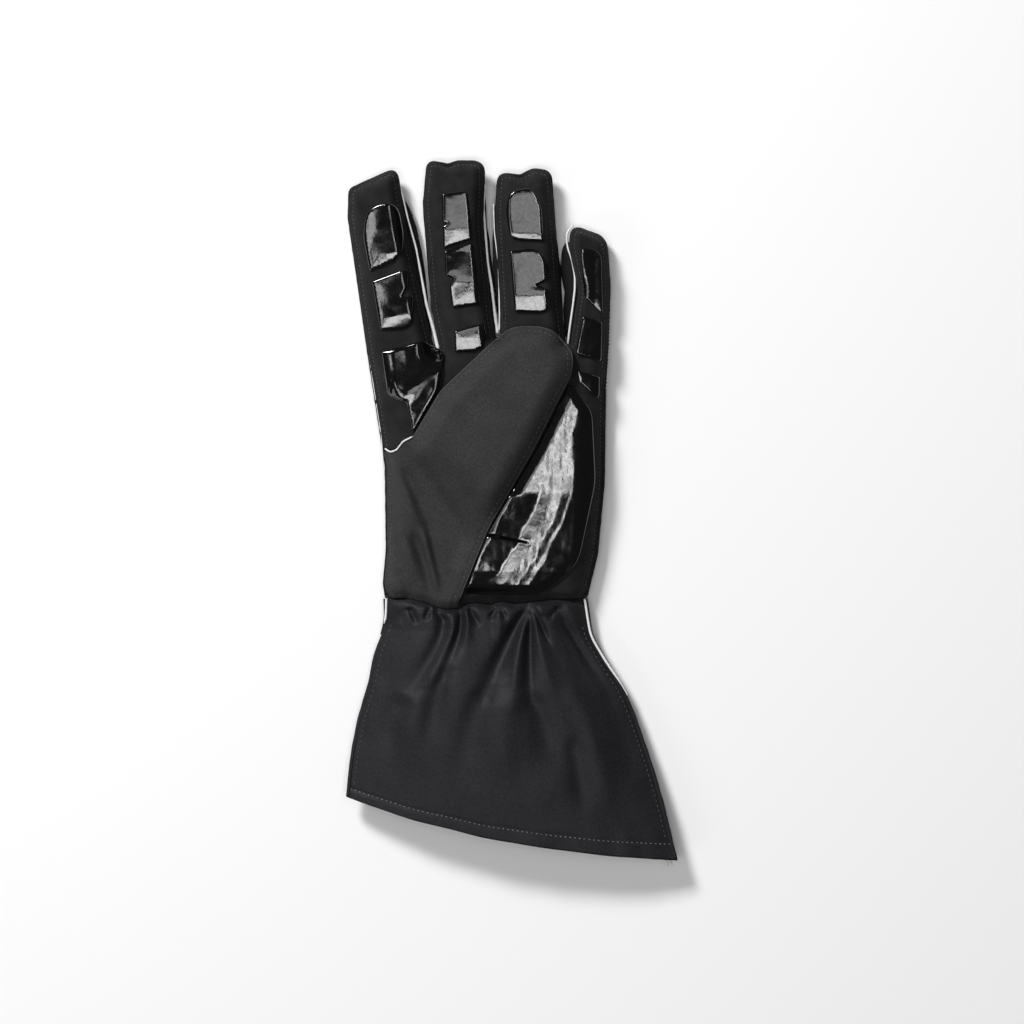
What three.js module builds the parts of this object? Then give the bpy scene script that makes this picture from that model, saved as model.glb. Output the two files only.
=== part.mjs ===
// A left-hand driver's glove with a long gauntlet cuff, lying palm up on its back, thumb folded over the palm.
// Sizes are in millimetres. +Y runs from the cuff to the fingertips, +X to the little finger's side, +Z up.
// The origin is on the surface that the glove lies on, below the middle of its outline.
// Each sewn panel is a sheet of cloth of its own, with a hollow between palm and back for the hand.
import * as THREE from 'three';

const CLOTH = 1.8; // thickness of the hand's padded panels
const CUFF_CLOTH = 1.5; // thickness of the cuff's cloth
const HEM_EXTRA = 0.9; // how much the folded hem is thicker than the cuff's cloth
const HEM_WIDTH = 7; // depth of the folded hem
const GAP = 0.3; // clearance between two pieces that touch
const SEAM_Z = 5; // height of the side seam where palm and back meet
const FINGER_SEAM_Z = 3.3; // the same along the fingers
const BACK_REACH = 9; // how far in from the seam the back of the hand comes down to lie flat
const FINGER_BACK_REACH = 5; // the same for the fingers
const BACK_INSET = 1.6; // how far the back panel stops short of the palm panel's edge
const GRIP = 0.9; // thickness of a moulded grip
const GRIP_LIFT = 0.6; // clearance under a grip, over the curved palm
const SLIM_GRIP_LIFT = 1.6; // the same along the little finger, which is more strongly curved
const LINING_LIFT = 0.9; // clearance under the thumb's inner panel
const WRIST_Y = -47; // the seam between hand and cuff
const TIP_LIFT = 5; // how far the fingertips curl up off the surface
const CURL_START_Y = 70;
const CURL_END_Y = 175;
const FINGER_ROOT_Y = 55; // where seam and back start to change from the hand's shape to the fingers'
const FINGER_SHAPE_Y = 85; // where it has changed

// Seam line of the hand, from the wrist up the thumb side, round the fingers and down to the wrist.
// r is the radius that rounds the corner.
const thumbSide = [
  { x: -63, y: WRIST_Y, r: 0 },
  { x: -64.5, y: -36, r: 12 },
  { x: -63, y: -20, r: 20 },
  { x: -63.5, y: 22, r: 40 },
  { x: -72.5, y: 80, r: 60 },
];
const indexFinger = [
  { x: -82, y: 146, r: 30 },
  { x: -81.5, y: 160.5, r: 4 },
  { x: -57.2, y: 171.5, r: 5 },
  { x: -52.5, y: 141, r: 40 },
  { x: -43.8, y: 101, r: 40 },
  { x: -38.5, y: 79.3, r: 0.6 },
];
const middleFinger = [
  { x: -36, y: 79.5, r: 0.6 },
  { x: -40.2, y: 100, r: 30 },
  { x: -44.6, y: 152, r: 50 },
  { x: -42.5, y: 175.5, r: 9 },
  { x: -32, y: 173.2, r: 3 },
  { x: -27, y: 175, r: 5 },
  { x: -13.2, y: 175, r: 8 },
  { x: -14.2, y: 142, r: 60 },
  { x: -10, y: 98, r: 60 },
  { x: -8.1, y: 86.4, r: 0.6 },
];
const ringFinger = [
  { x: -6.1, y: 86.6, r: 0.6 },
  { x: -5.8, y: 98, r: 30 },
  { x: -8.6, y: 148, r: 60 },
  { x: -7.4, y: 169.5, r: 9 },
  { x: 4, y: 168.4, r: 4 },
  { x: 10.5, y: 171.8, r: 6 },
  { x: 19.8, y: 170.6, r: 9 },
  { x: 21.8, y: 142, r: 60 },
  { x: 24.4, y: 106, r: 60 },
  { x: 26.9, y: 82.8, r: 0.6 },
];
const littleFinger = [
  { x: 28.9, y: 83, r: 0.6 },
  { x: 33, y: 110, r: 14 },
  { x: 28.2, y: 131, r: 14 },
  { x: 29.4, y: 142.6, r: 5 },
  { x: 46.8, y: 136.6, r: 10 },
  { x: 48.8, y: 112, r: 60 },
  { x: 48, y: 84, r: 60 },
];
const littleSide = [
  { x: 46.4, y: 60, r: 60 },
  { x: 45.8, y: 14, r: 60 },
  { x: 42.4, y: -22, r: 40 },
  { x: 36.5, y: WRIST_Y, r: 0 },
];
const fingers = [indexFinger, middleFinger, ringFinger, littleFinger];
const handSeam = [...thumbSide, ...fingers.flat(), ...littleSide];

// How the palm panel domes up from its seam along the hand: rise is its height, reach how far in it levels out.
const palmProfile = [
  { at: -47, rise: 7, reach: 17 },
  { at: -30, rise: 9.5, reach: 20 },
  { at: 10, rise: 11, reach: 24 },
  { at: 50, rise: 10, reach: 22 },
  { at: 85, rise: 10.7, reach: 14 },
  { at: 140, rise: 9.8, reach: 13 },
  { at: 175, rise: 7.7, reach: 11 },
];
const LITTLE_RISE = 8.8; // the narrower palm side of the little finger
const LITTLE_REACH = 8.5;
const LITTLE_ROOT_Y = 72; // where the palm starts to change to that
const LITTLE_SHAPE_Y = 100; // where it has changed

// The thumb panel: up the side seam, along its sewn edge with the palm, round the folded thumb and back.
const thumbEdge = [
  { x: -63.9, y: 29.6, r: 1 },
  { x: -57.2, y: 29.4, r: 3 },
  { x: -53.6, y: 34, r: 3 },
  { x: -49.6, y: 36, r: 3 },
];
const thumbFree = [
  { x: -35.5, y: 59.5, r: 14 },
  { x: -1.5, y: 91.6, r: 20 },
  { x: 18.8, y: 91.4, r: 20 },
  { x: 30.6, y: 80, r: 20 },
  { x: 29.8, y: 68, r: 20 },
  { x: 10.4, y: 29.6, r: 80 },
  { x: -11.6, y: -8.8, r: 60 },
];
const thumbWristCorner = { x: -27, y: WRIST_Y, r: 0 };
// The palm panel's edge where the thumb opens out of it, hidden below the thumb.
const thumbHole = [
  { x: -48.9, y: 36.4, r: 1 },
  { x: -34, y: 20, r: 12 },
  { x: -15, y: -12, r: 14 },
  { x: -31, y: WRIST_Y, r: 0 },
];
const THUMB_AXIS = new THREE.Vector2(0.6, 0.8); // direction from the thumb's root to its tip
const THUMB_ROOT = new THREE.Vector2(-36, 2);
const THUMB_ROOT_LENGTH = 28; // along the axis, from lying in the palm to standing free as a tube
const THUMB_RISE = 9.5;
const THUMB_REACH = 17;
const THUMB_SEAM_RISE = 1; // extra height of the thumb's seam where it is a free tube
const THUMB_WALL = 1.2; // the thumb's inner panel, against the palm
const LINING_START_Y = -30; // where the inner panel comes in between palm and thumb panel
const LINING_FULL_Y = -8;
const LINING_EDGE = 5; // how far in from its edge the inner panel turns up to the seam
const LINING_TURN_UP = 0.8; // how high it turns up
const SEAM_ALLOWANCE = 0.5; // gap between the palm's edge and the thumb panel's sewn edge
const OVERLAP_BLEND = 9; // distance over which the thumb panel climbs onto the palm panel

// Moulded grips, each an outline with rounded corners.
const grips = {
  index_grip_tip: [
    { x: -70.6, y: 119.3, r: 0.6 },
    { x: -75.4, y: 151.5, r: 9 },
    { x: -56.2, y: 153, r: 9 },
    { x: -54, y: 130, r: 1.2 },
    { x: -59, y: 124, r: 1.5 },
  ],
  index_grip_middle: [
    { x: -69.6, y: 114, r: 0.5 },
    { x: -52.2, y: 120.3, r: 0.5 },
    { x: -51.8, y: 112, r: 3 },
    { x: -54.8, y: 106.2, r: 0.3 },
    { x: -49.4, y: 106.8, r: 0.3 },
    { x: -49.2, y: 90.2, r: 7 },
    { x: -65.6, y: 89.6, r: 2 },
  ],
  index_grip_base: [
    { x: -64.8, y: 79, r: 0.5 },
    { x: -44, y: 84.2, r: 3 },
    { x: -33.5, y: 79, r: 4 },
    { x: -36.8, y: 59.5, r: 1 },
    { x: -49.4, y: 38.4, r: 1 },
    { x: -52.4, y: 53.2, r: 2 },
    { x: -61.8, y: 57, r: 5 },
  ],
  middle_grip_tip: [
    { x: -34.8, y: 157.4, r: 1.5 },
    { x: -22.4, y: 159, r: 1.5 },
    { x: -20, y: 135.4, r: 0.5 },
    { x: -34, y: 130.8, r: 0.5 },
    { x: -34.4, y: 141.2, r: 0.3 },
    { x: -32.2, y: 142.4, r: 0.3 },
    { x: -34.6, y: 143.4, r: 0.3 },
  ],
  middle_grip_middle: [
    { x: -33.6, y: 128.8, r: 0.5 },
    { x: -19.6, y: 133.4, r: 0.5 },
    { x: -16, y: 102.6, r: 2.5 },
    { x: -29.8, y: 100.6, r: 1.5 },
    { x: -31, y: 111.6, r: 0.5 },
    { x: -28.8, y: 115.6, r: 0.4 },
    { x: -33, y: 117, r: 0.5 },
  ],
  middle_grip_base: [
    { x: -28.3, y: 88.5, r: 0.5 },
    { x: -14.6, y: 92.6, r: 0.5 },
    { x: -14, y: 87.4, r: 0.5 },
    { x: -19.4, y: 79.8, r: 0.5 },
    { x: -28, y: 79.5, r: 0.5 },
  ],
  ring_grip_tip: [
    { x: -0.6, y: 135.2, r: 5.5 },
    { x: -3, y: 159.6, r: 9 },
    { x: 14.6, y: 159.6, r: 8.5 },
    { x: 15.5, y: 134.4, r: 0.5 },
  ],
  ring_grip_middle: [
    { x: -1.1, y: 128.8, r: 0.5 },
    { x: 17.4, y: 130, r: 9 },
    { x: 17.9, y: 115.4, r: 0.6 },
    { x: 12, y: 112.2, r: 0.3 },
    { x: 17.9, y: 109.9, r: 1.5 },
    { x: 17.7, y: 98.7, r: 5 },
    { x: 1.6, y: 99.4, r: 0.6 },
  ],
  little_grip_tip: [
    { x: 34, y: 131.6, r: 4 },
    { x: 44.4, y: 128.6, r: 6 },
    { x: 45.2, y: 97.4, r: 0.8 },
    { x: 36, y: 106.4, r: 3 },
  ],
  little_grip_middle: [
    { x: 35.3, y: 96.6, r: 0.5 },
    { x: 44.8, y: 93.6, r: 0.5 },
    { x: 44.4, y: 74.2, r: 0.8 },
    { x: 31.6, y: 78.4, r: 0.8 },
  ],
  little_grip_base: [
    { x: 32.4, y: 69.6, r: 0.5 },
    { x: 43.6, y: 66.4, r: 0.5 },
    { x: 43.4, y: 55, r: 1.5 },
    { x: 33.6, y: 63.6, r: 0.8 },
  ],
};
const slimGrips = ['little_grip_tip', 'little_grip_middle'];
const palmGrip = [
  { x: 28.6, y: 63.6, r: 1.5 },
  { x: 40.6, y: 49, r: 12 },
  { x: 43.2, y: 12, r: 40 },
  { x: 33.6, y: -30, r: 26 },
  { x: 14, y: -41, r: 12 },
  { x: -23.4, y: -40.6, r: 1 },
  { x: -16.2, y: -22, r: 2 },
  { x: -12.6, y: -12.8, r: 0.5 },
  { x: 13.2, y: -17.2, r: 0.3 },
  { x: -12.2, y: -11.4, r: 0.5 },
  { x: 12, y: 30.2, r: 80 },
];
const PALM_GRIP_CROWN = 1.4;
const PALM_GRIP_REACH = 13;

// Sections of the cuff from the wrist to the hem: its two side seams and their height, its height above them,
// and how far its edge bows out between them. edge is the exponent that squares the section's shoulders.
const cuffSections = [
  { at: 0, lx: -63, ly: -47.3, rx: 36.5, ry: -47.3, seam: 5, rise: 7.2, bow: 0, edge: 5 },
  { at: 0.06, lx: -63, ly: -53, rx: 37.5, ry: -54, seam: 5, rise: 9.5, bow: 0, edge: 4.2 },
  { at: 0.14, lx: -64.5, ly: -60, rx: 38.5, ry: -62, seam: 5.2, rise: 11.8, bow: -1, edge: 3.4 },
  { at: 0.25, lx: -68.5, ly: -71, rx: 44.5, ry: -74, seam: 5.8, rise: 13.7, bow: -2, edge: 2.9 },
  { at: 0.4, lx: -71.5, ly: -85, rx: 55.5, ry: -90, seam: 6.8, rise: 15.2, bow: -3, edge: 2.6 },
  { at: 0.6, lx: -77, ly: -104.5, rx: 66, ry: -115, seam: 8, rise: 15, bow: -4.5, edge: 2.4 },
  { at: 0.8, lx: -80.5, ly: -123.5, rx: 74.5, ry: -142, seam: 10.2, rise: 12.4, bow: -6, edge: 2.3 },
  { at: 1, lx: -82.5, ly: -143, rx: 82.5, ry: -175, seam: 12, rise: 9.2, bow: -7, edge: 2.2 },
];
const CUFF_LENGTH = 120; // along its middle, from the wrist to the hem
const GATHERS = 11; // pinches of the elastic across the palm side of the wrist
const GATHER_CROWDING = 0.4; // how much closer the pinches are on the little finger's side
const GATHER_DEPTH = 2.2;
const GATHER_PEAK = 0.05; // where along the cuff the gathers stand highest
const GATHER_FADE = 0.1;
const BACK_GATHER_DEPTH = 0.7;
const BACK_WRIST_LIFT = 1.4; // the elastic holds the back of the wrist off the surface
const BACK_WRIST_FADE = 14; // over this length of the hand
const BACK_CUFF_FADE = 0.12; // and this share of the cuff
const BACK_BOW = 1.15; // the back's hem bows out a little more than the palm side's
const BACK_EDGE = 6; // exponent of the back's flat section
const FOLD_RUN_OUT = 10; // how far past its last point a fold runs out
// Long folds that fall from the gathers: start, middle and end of each valley.
const cuffFolds = [
  { x0: -26, y0: -58, x1: -41, y1: -78, x2: -47, y2: -112, depth: 2.6, width: 6 },
  { x0: 8, y0: -54, x1: 3, y1: -76, x2: -9, y2: -114, depth: 3, width: 6.5 },
  { x0: 15, y0: -60, x1: 20, y1: -88, x2: 36, y2: -136, depth: 2.2, width: 7 },
  { x0: 27, y0: -54, x1: 48, y1: -82, x2: 70, y2: -142, depth: 2, width: 6 },
];

// Side walls between the fingers, each down the side of one finger and up the side of the next. top is where
// a side of the wall ends, lean is how far it bellies out beyond the palm's edge, and peak where it does so
// most, from 0 at the crotch to 1 at its top.
const sideWalls = [
  {
    name: 'fourchette_index_middle',
    left: { finger: indexFinger, top: 160, lean: 4, peak: 0.8 },
    right: { finger: middleFinger, top: 163, lean: 0.8, peak: 0.5 },
  },
  {
    name: 'fourchette_middle_ring',
    left: { finger: middleFinger, top: 163, lean: 1.9, peak: 0.5 },
    right: { finger: ringFinger, top: 157, lean: 1.5, peak: 0.5 },
  },
  {
    name: 'fourchette_ring_little',
    left: { finger: ringFinger, top: 158, lean: 0.6, peak: 0.5 },
    right: { finger: littleFinger, top: 134, lean: 6.8, peak: 0.68 },
  },
];
// White cords sewn in beside the edges: which edge, from which height in the picture to which, and how thick.
const fingerPipings = [
  { name: 'piping_index', finger: indexFinger, side: 'right', high: 157, low: 80.5, radius: 0.7 },
  { name: 'piping_middle', finger: middleFinger, side: 'right', high: 161, low: 88, radius: 0.6 },
  { name: 'piping_ring', finger: ringFinger, side: 'left', high: 139, low: 96, radius: 0.45 },
  { name: 'piping_little', finger: littleFinger, side: 'left', high: 139, low: 86, radius: 0.7 },
];
const CUFF_PIPING_RADIUS = 0.7;
const cuffPipings = [
  { name: 'piping_cuff_left', side: -1, from: 0.004, to: 0.1 },
  { name: 'piping_cuff_right', side: 1, from: 0.004, to: 0.5 },
];
const WALL_THICKNESS = 1;
const WALL_FOOT_Z = 0.8;
// Distance between the points that fill each panel, before it is faceted.
const PALM_SPACING = 7.2;
const BACK_SPACING = 14;
const BACK_RING = 4; // a ring of points inside the back's edge, where it turns down to lie flat
const THUMB_SPACING = 7.5;
const LINING_SPACING = 8.5;
const GRIP_SPACING = 5;
const PALM_GRIP_SPACING = 7;

const clothColour = new THREE.Color(0.018, 0.018, 0.02);
const cloth = new THREE.MeshStandardMaterial({ color: clothColour, roughness: 0.85 });
const cuffCloth = new THREE.MeshStandardMaterial({ color: 0x1c1b1f, roughness: 0.75 });
const silicone = new THREE.MeshStandardMaterial({ color: 0x060606, roughness: 0.15 });
const whiteCord = new THREE.MeshStandardMaterial({ color: 0xeeeeee, roughness: 0.6 });

const clamp01 = (t) => Math.min(1, Math.max(0, t));
const smooth = (low, high, t) => {
  const s = clamp01((t - low) / (high - low));
  return s * s * (3 - 2 * s);
};
// A pillow's rise from its seam: steep at the edge, level at the reach.
const dome = (s) => 1 - (1 - clamp01(s)) ** 2;

// Reads one column of a table at a place between its rows.
function read(table, column, at) {
  let i = 1;
  while (i < table.length - 1 && table[i].at < at) i += 1;
  const a = table[i - 1];
  const b = table[i];
  return THREE.MathUtils.lerp(a[column], b[column], clamp01((at - a.at) / (b.at - a.at)));
}

// Points along corners joined by straight lines and rounded by arcs.
function roundedLine(corners, closed, step) {
  const count = corners.length;
  const points = [];
  for (let i = 0; i < count; i += 1) {
    const here = new THREE.Vector2(corners[i].x, corners[i].y);
    const inner = closed || (i > 0 && i < count - 1);
    if (!inner || corners[i].r === 0) {
      points.push(here);
      continue;
    }
    const before = corners[(i + count - 1) % count];
    const after = corners[(i + 1) % count];
    const toBefore = new THREE.Vector2(before.x, before.y).sub(here);
    const toAfter = new THREE.Vector2(after.x, after.y).sub(here);
    const room = 0.49 * Math.min(toBefore.length(), toAfter.length());
    toBefore.normalize();
    toAfter.normalize();
    const half = Math.acos(THREE.MathUtils.clamp(toBefore.dot(toAfter), -1, 1)) / 2;
    const cut = Math.min(corners[i].r / Math.tan(half), room);
    const from = here.clone().addScaledVector(toBefore, cut);
    const to = here.clone().addScaledVector(toAfter, cut);
    const turn = Math.PI - 2 * half;
    const arc = turn * cut * Math.tan(half);
    const pieces = Math.max(1, Math.round(Math.max(arc / step, turn / 0.7)));
    const curve = new THREE.QuadraticBezierCurve(from, here, to);
    points.push(...curve.getPoints(pieces));
  }
  return points;
}

// Splits long stretches so that no step is much over the given length.
function resample(points, step, closed) {
  const result = [];
  const count = closed ? points.length : points.length - 1;
  for (let i = 0; i < count; i += 1) {
    const a = points[i];
    const b = points[(i + 1) % points.length];
    const pieces = Math.max(1, Math.round(a.distanceTo(b) / step));
    for (let k = 0; k < pieces; k += 1) result.push(a.clone().lerp(b, k / pieces));
  }
  if (!closed) result.push(points[points.length - 1].clone());
  return result.filter((p, i) => i === 0 || p.distanceTo(result[i - 1]) > 0.05);
}

function distanceToLine(points, x, y) {
  let best = Infinity;
  for (let i = 1; i < points.length; i += 1) {
    const a = points[i - 1];
    const b = points[i];
    const dx = b.x - a.x;
    const dy = b.y - a.y;
    const t = clamp01(((x - a.x) * dx + (y - a.y) * dy) / (dx * dx + dy * dy));
    best = Math.min(best, Math.hypot(x - a.x - t * dx, y - a.y - t * dy));
  }
  return best;
}

function inside(polygon, x, y) {
  let odd = false;
  for (let i = 0, j = polygon.length - 1; i < polygon.length; j = i, i += 1) {
    const a = polygon[i];
    const b = polygon[j];
    if (a.y > y !== b.y > y && x < ((b.x - a.x) * (y - a.y)) / (b.y - a.y) + a.x) odd = !odd;
  }
  return odd;
}

const turnOf = (a, b, c) => (b.x - a.x) * (c.y - a.y) - (b.y - a.y) * (c.x - a.x);

// Whether d lies inside the circle through the corners a, b, c, which turn anticlockwise.
function inCircle(a, b, c, d) {
  const rows = [a, b, c].map((p) => [p.x - d.x, p.y - d.y, (p.x - d.x) ** 2 + (p.y - d.y) ** 2]);
  const [[a0, a1, a2], [b0, b1, b2], [c0, c1, c2]] = rows;
  return a0 * (b1 * c2 - b2 * c1) - a1 * (b0 * c2 - b2 * c0) + a2 * (b0 * c1 - b1 * c0) > 1e-7;
}

// Swaps the diagonal of neighbouring triangles until each is as even as it can be.
function evenOut(points, triangles) {
  for (let pass = 0, changed = true; changed && pass < 200; pass += 1) {
    changed = false;
    const owner = new Map();
    triangles.forEach((t, index) => {
      for (let k = 0; k < 3; k += 1) owner.set(`${t[k]},${t[(k + 1) % 3]}`, index);
    });
    const touched = new Set();
    for (const [key, index] of owner) {
      const [i, j] = key.split(',').map(Number);
      const other = owner.get(`${j},${i}`);
      if (i > j || other === undefined || touched.has(index) || touched.has(other)) continue;
      const k = triangles[index].find((v) => v !== i && v !== j);
      const m = triangles[other].find((v) => v !== i && v !== j);
      const convex = turnOf(points[k], points[i], points[m]) > 1e-9 && turnOf(points[m], points[j], points[k]) > 1e-9;
      if (!convex || !inCircle(points[i], points[j], points[k], points[m])) continue;
      triangles[index] = [k, i, m];
      triangles[other] = [m, j, k];
      touched.add(index);
      touched.add(other);
      changed = true;
    }
  }
}

// Moves each point of a closed outline inwards.
function inset(points, amount) {
  return points.map((p, i) => {
    const before = points[(i + points.length - 1) % points.length];
    const after = points[(i + 1) % points.length];
    const along = new THREE.Vector2(after.x - before.x, after.y - before.y).normalize();
    return new THREE.Vector2(p.x + along.y * amount, p.y - along.x * amount);
  });
}

// Fills a polygon with near-even triangles: its own points, a ring of points at a depth inside it if one is
// asked for, and a honeycomb of points in the rest.
function fillPolygon(polygon, spacing, ring) {
  const outline = THREE.ShapeUtils.isClockWise(polygon) ? [...polygon].reverse() : polygon;
  const points = [...outline];
  const triangles = THREE.ShapeUtils.triangulateShape(outline, []).map((t) => [...t]);
  const box = new THREE.Box2().setFromPoints(outline);
  const loop = [...outline, outline[0]];
  const rowHeight = spacing * Math.sin(Math.PI / 3);
  // Outlines turn anticlockwise here, so inwards is to the left.
  const wanted = ring ? inset(outline, -ring).map((p) => ({ p, margin: 0.9 * ring })) : [];
  for (let row = 1; box.min.y + row * rowHeight < box.max.y; row += 1) {
    const y = box.min.y + row * rowHeight + 0.013 * row;
    const shift = row % 2 ? 0 : spacing / 2;
    for (let x = box.min.x + shift + 0.37; x < box.max.x; x += spacing) {
      wanted.push({ p: new THREE.Vector2(x, y), margin: 0.55 * spacing + 0.8 * ring });
    }
  }
  for (const { p, margin } of wanted) {
    if (!inside(outline, p.x, p.y) || distanceToLine(loop, p.x, p.y) < margin) continue;
    const home = triangles.findIndex(
      ([a, b, c]) =>
        turnOf(points[a], points[b], p) > 1e-6 &&
        turnOf(points[b], points[c], p) > 1e-6 &&
        turnOf(points[c], points[a], p) > 1e-6,
    );
    if (home < 0) continue;
    const [a, b, c] = triangles[home];
    const n = points.push(p) - 1;
    triangles.splice(home, 1, [a, b, n], [b, c, n], [c, a, n]);
  }
  evenOut(points, triangles);
  return { points, triangles, rim: outline.length };
}

function geometryOf(positions, faces) {
  const geometry = new THREE.BufferGeometry();
  geometry.setAttribute('position', new THREE.Float32BufferAttribute(positions, 3));
  geometry.setIndex(faces);
  geometry.computeVertexNormals();
  return geometry;
}

// A sheet of cloth over a flat outline, between a lower and an upper surface.
function sheet(polygon, lower, upper, spacing, ring = 0) {
  const { points, triangles, rim } = fillPolygon(polygon, spacing, ring);
  const count = points.length;
  const positions = [];
  for (const p of points) positions.push(p.x, p.y, upper(p.x, p.y));
  for (const p of points) positions.push(p.x, p.y, lower(p.x, p.y));
  const faces = [];
  for (const [a, b, c] of triangles) faces.push(a, b, c, a + count, c + count, b + count);
  for (let i = 0; i < rim; i += 1) {
    const j = (i + 1) % rim;
    faces.push(i, i + count, j, j, i + count, j + count);
  }
  return geometryOf(positions, faces);
}

// A sheet of cloth over a grid: place(u, v) gives a point of its outer face and of its inner face.
function gridSheet(across, along, place, flip) {
  const positions = [];
  for (const face of ['outer', 'inner']) {
    for (let j = 0; j <= along.length - 1; j += 1) {
      for (let i = 0; i <= across; i += 1) {
        positions.push(...place(-1 + (2 * i) / across, along[j])[face].toArray());
      }
    }
  }
  const row = across + 1;
  const half = row * along.length;
  const faces = [];
  const quad = (a, b, c, d) => faces.push(...(flip ? [a, c, b, a, d, c] : [a, b, c, a, c, d]));
  for (let j = 0; j < along.length - 1; j += 1) {
    for (let i = 0; i < across; i += 1) {
      const a = j * row + i;
      quad(a + 1, a, a + row, a + row + 1);
      quad(a + half, a + half + 1, a + half + row + 1, a + half + row);
    }
    const left = j * row;
    const right = left + across;
    quad(left, left + half, left + half + row, left + row);
    quad(right + half, right, right + row, right + half + row);
  }
  const last = (along.length - 1) * row;
  for (let i = 0; i < across; i += 1) {
    quad(i, i + 1, i + 1 + half, i + half);
    quad(last + i + 1, last + i, last + i + half, last + i + 1 + half);
  }
  return geometryOf(positions, faces);
}

// A bar along a path: section(point, side, index) gives the corners of each cross-section.
function bar(path, section) {
  const rings = path.map((p, i) => {
    const before = path[Math.max(0, i - 1)];
    const after = path[Math.min(path.length - 1, i + 1)];
    const along = new THREE.Vector2(after.x - before.x, after.y - before.y).normalize();
    return section(p, new THREE.Vector2(along.y, -along.x), i);
  });
  const sides = rings[0].length;
  const positions = rings.flat().flatMap((c) => c.toArray());
  const faces = [];
  for (let i = 0; i < rings.length - 1; i += 1) {
    for (let k = 0; k < sides; k += 1) {
      const a = i * sides + k;
      const b = i * sides + ((k + 1) % sides);
      faces.push(a, b + sides, b, a, a + sides, b + sides);
    }
  }
  const end = (rings.length - 1) * sides;
  for (let k = 1; k < sides - 1; k += 1) {
    faces.push(0, k, k + 1);
    faces.push(end, end + k + 1, end + k);
  }
  return geometryOf(positions, faces);
}

const lift = (y) => TIP_LIFT * clamp01((y - CURL_START_Y) / (CURL_END_Y - CURL_START_Y)) ** 2;
const fingerShare = (y) => smooth(FINGER_ROOT_Y, FINGER_SHAPE_Y, y);
const seamZ = (y) => lift(y) + THREE.MathUtils.lerp(SEAM_Z, FINGER_SEAM_Z, fingerShare(y));
const seamPoints = resample(roundedLine(handSeam, false, 3), 6, false);

function palmInner(x, y) {
  const rise = read(palmProfile, 'rise', y);
  const slim = x > littleFinger[0].x ? smooth(LITTLE_ROOT_Y, LITTLE_SHAPE_Y, y) : 0;
  const reach = THREE.MathUtils.lerp(read(palmProfile, 'reach', y), LITTLE_REACH, slim);
  const height = THREE.MathUtils.lerp(rise, LITTLE_RISE, slim);
  return seamZ(y) + GAP / 2 + height * dome(distanceToLine(seamPoints, x, y) / reach);
}
const palmOuter = (x, y) => palmInner(x, y) + CLOTH;

function backInner(x, y) {
  const top = seamZ(y) - GAP / 2;
  const low = lift(y) + CLOTH + BACK_WRIST_LIFT * (1 - smooth(WRIST_Y, WRIST_Y + BACK_WRIST_FADE, y));
  const reach = THREE.MathUtils.lerp(BACK_REACH, FINGER_BACK_REACH, fingerShare(y));
  const reached = dome((distanceToLine(seamPoints, x, y) - BACK_INSET) / reach);
  return THREE.MathUtils.lerp(top, low, reached);
}

const holeLine = resample(roundedLine(thumbHole, false, 4), 6, false);
const thumbSeamLine = [...thumbSide.slice(0, 4), thumbEdge[0]];
const palmCorners = [...handSeam.slice(4), ...[...thumbHole].reverse(), ...[...thumbEdge].reverse()];
// The palm panel stops just past the sewn edge of the thumb panel.
const raised = palmCorners.map((c) => (thumbEdge.includes(c) ? { ...c, y: c.y + SEAM_ALLOWANCE } : c));
const palmOutline = resample(roundedLine(raised, true, 4), 6.5, true);
const backOutline = inset(resample(roundedLine(handSeam, true, 5), 9.5, true), BACK_INSET).map(
  (p) => new THREE.Vector2(p.x, Math.max(p.y, WRIST_Y)),
);

// The thumb panel lies in the palm's lower corner, climbs over the palm's edge, and ends as a free tube.
const thumbOutlineCorners = [...thumbSeamLine, ...thumbEdge.slice(1), ...thumbFree, thumbWristCorner];
const thumbOutline = resample(roundedLine(thumbOutlineCorners, true, 4), 6.5, true);
const freeLine = roundedLine([thumbEdge[3], ...thumbFree, thumbWristCorner], false, 3);

function sideOfHole(x, y) {
  const away = distanceToLine(holeLine, x, y);
  const closed = [
    ...holeLine,
    new THREE.Vector2(60, WRIST_Y - 1),
    new THREE.Vector2(60, 200),
    new THREE.Vector2(holeLine[0].x, 200),
  ];
  return inside(closed, x, y) ? away : -away;
}

function thumbFreedom(x, y) {
  const along = new THREE.Vector2(x, y).sub(THUMB_ROOT).dot(THUMB_AXIS);
  return smooth(0, THUMB_ROOT_LENGTH, along);
}

function thumbInner(x, y) {
  const over = smooth(-OVERLAP_BLEND, 0, sideOfHole(x, y));
  const climb = CLOTH + LINING_LIFT + (THUMB_WALL + GAP) * smooth(LINING_START_Y, LINING_FULL_Y, y);
  const free = thumbFreedom(x, y);
  const crown = THUMB_RISE * dome(distanceToLine(freeLine, x, y) / THUMB_REACH);
  return palmInner(x, y) + over * climb + free * (THUMB_SEAM_RISE + crown);
}

// The thumb's inner panel lies on the palm and turns up to the seam at its edge.
function thumbLiningLower(x, y) {
  const edge = 1 - dome(distanceToLine(freeLine, x, y) / LINING_EDGE);
  return palmOuter(x, y) + LINING_LIFT + LINING_TURN_UP * thumbFreedom(x, y) * edge;
}
const liningCorners = [...thumbHole.slice(0, 3), ...[...thumbFree.slice(0, 6)].reverse()].map((c, i) =>
  i === 0 ? { x: c.x + 1.2, y: c.y + 0.6, r: 1 } : c,
);
const liningOutline = resample(roundedLine(liningCorners, true, 4), 7.5, true);

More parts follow.
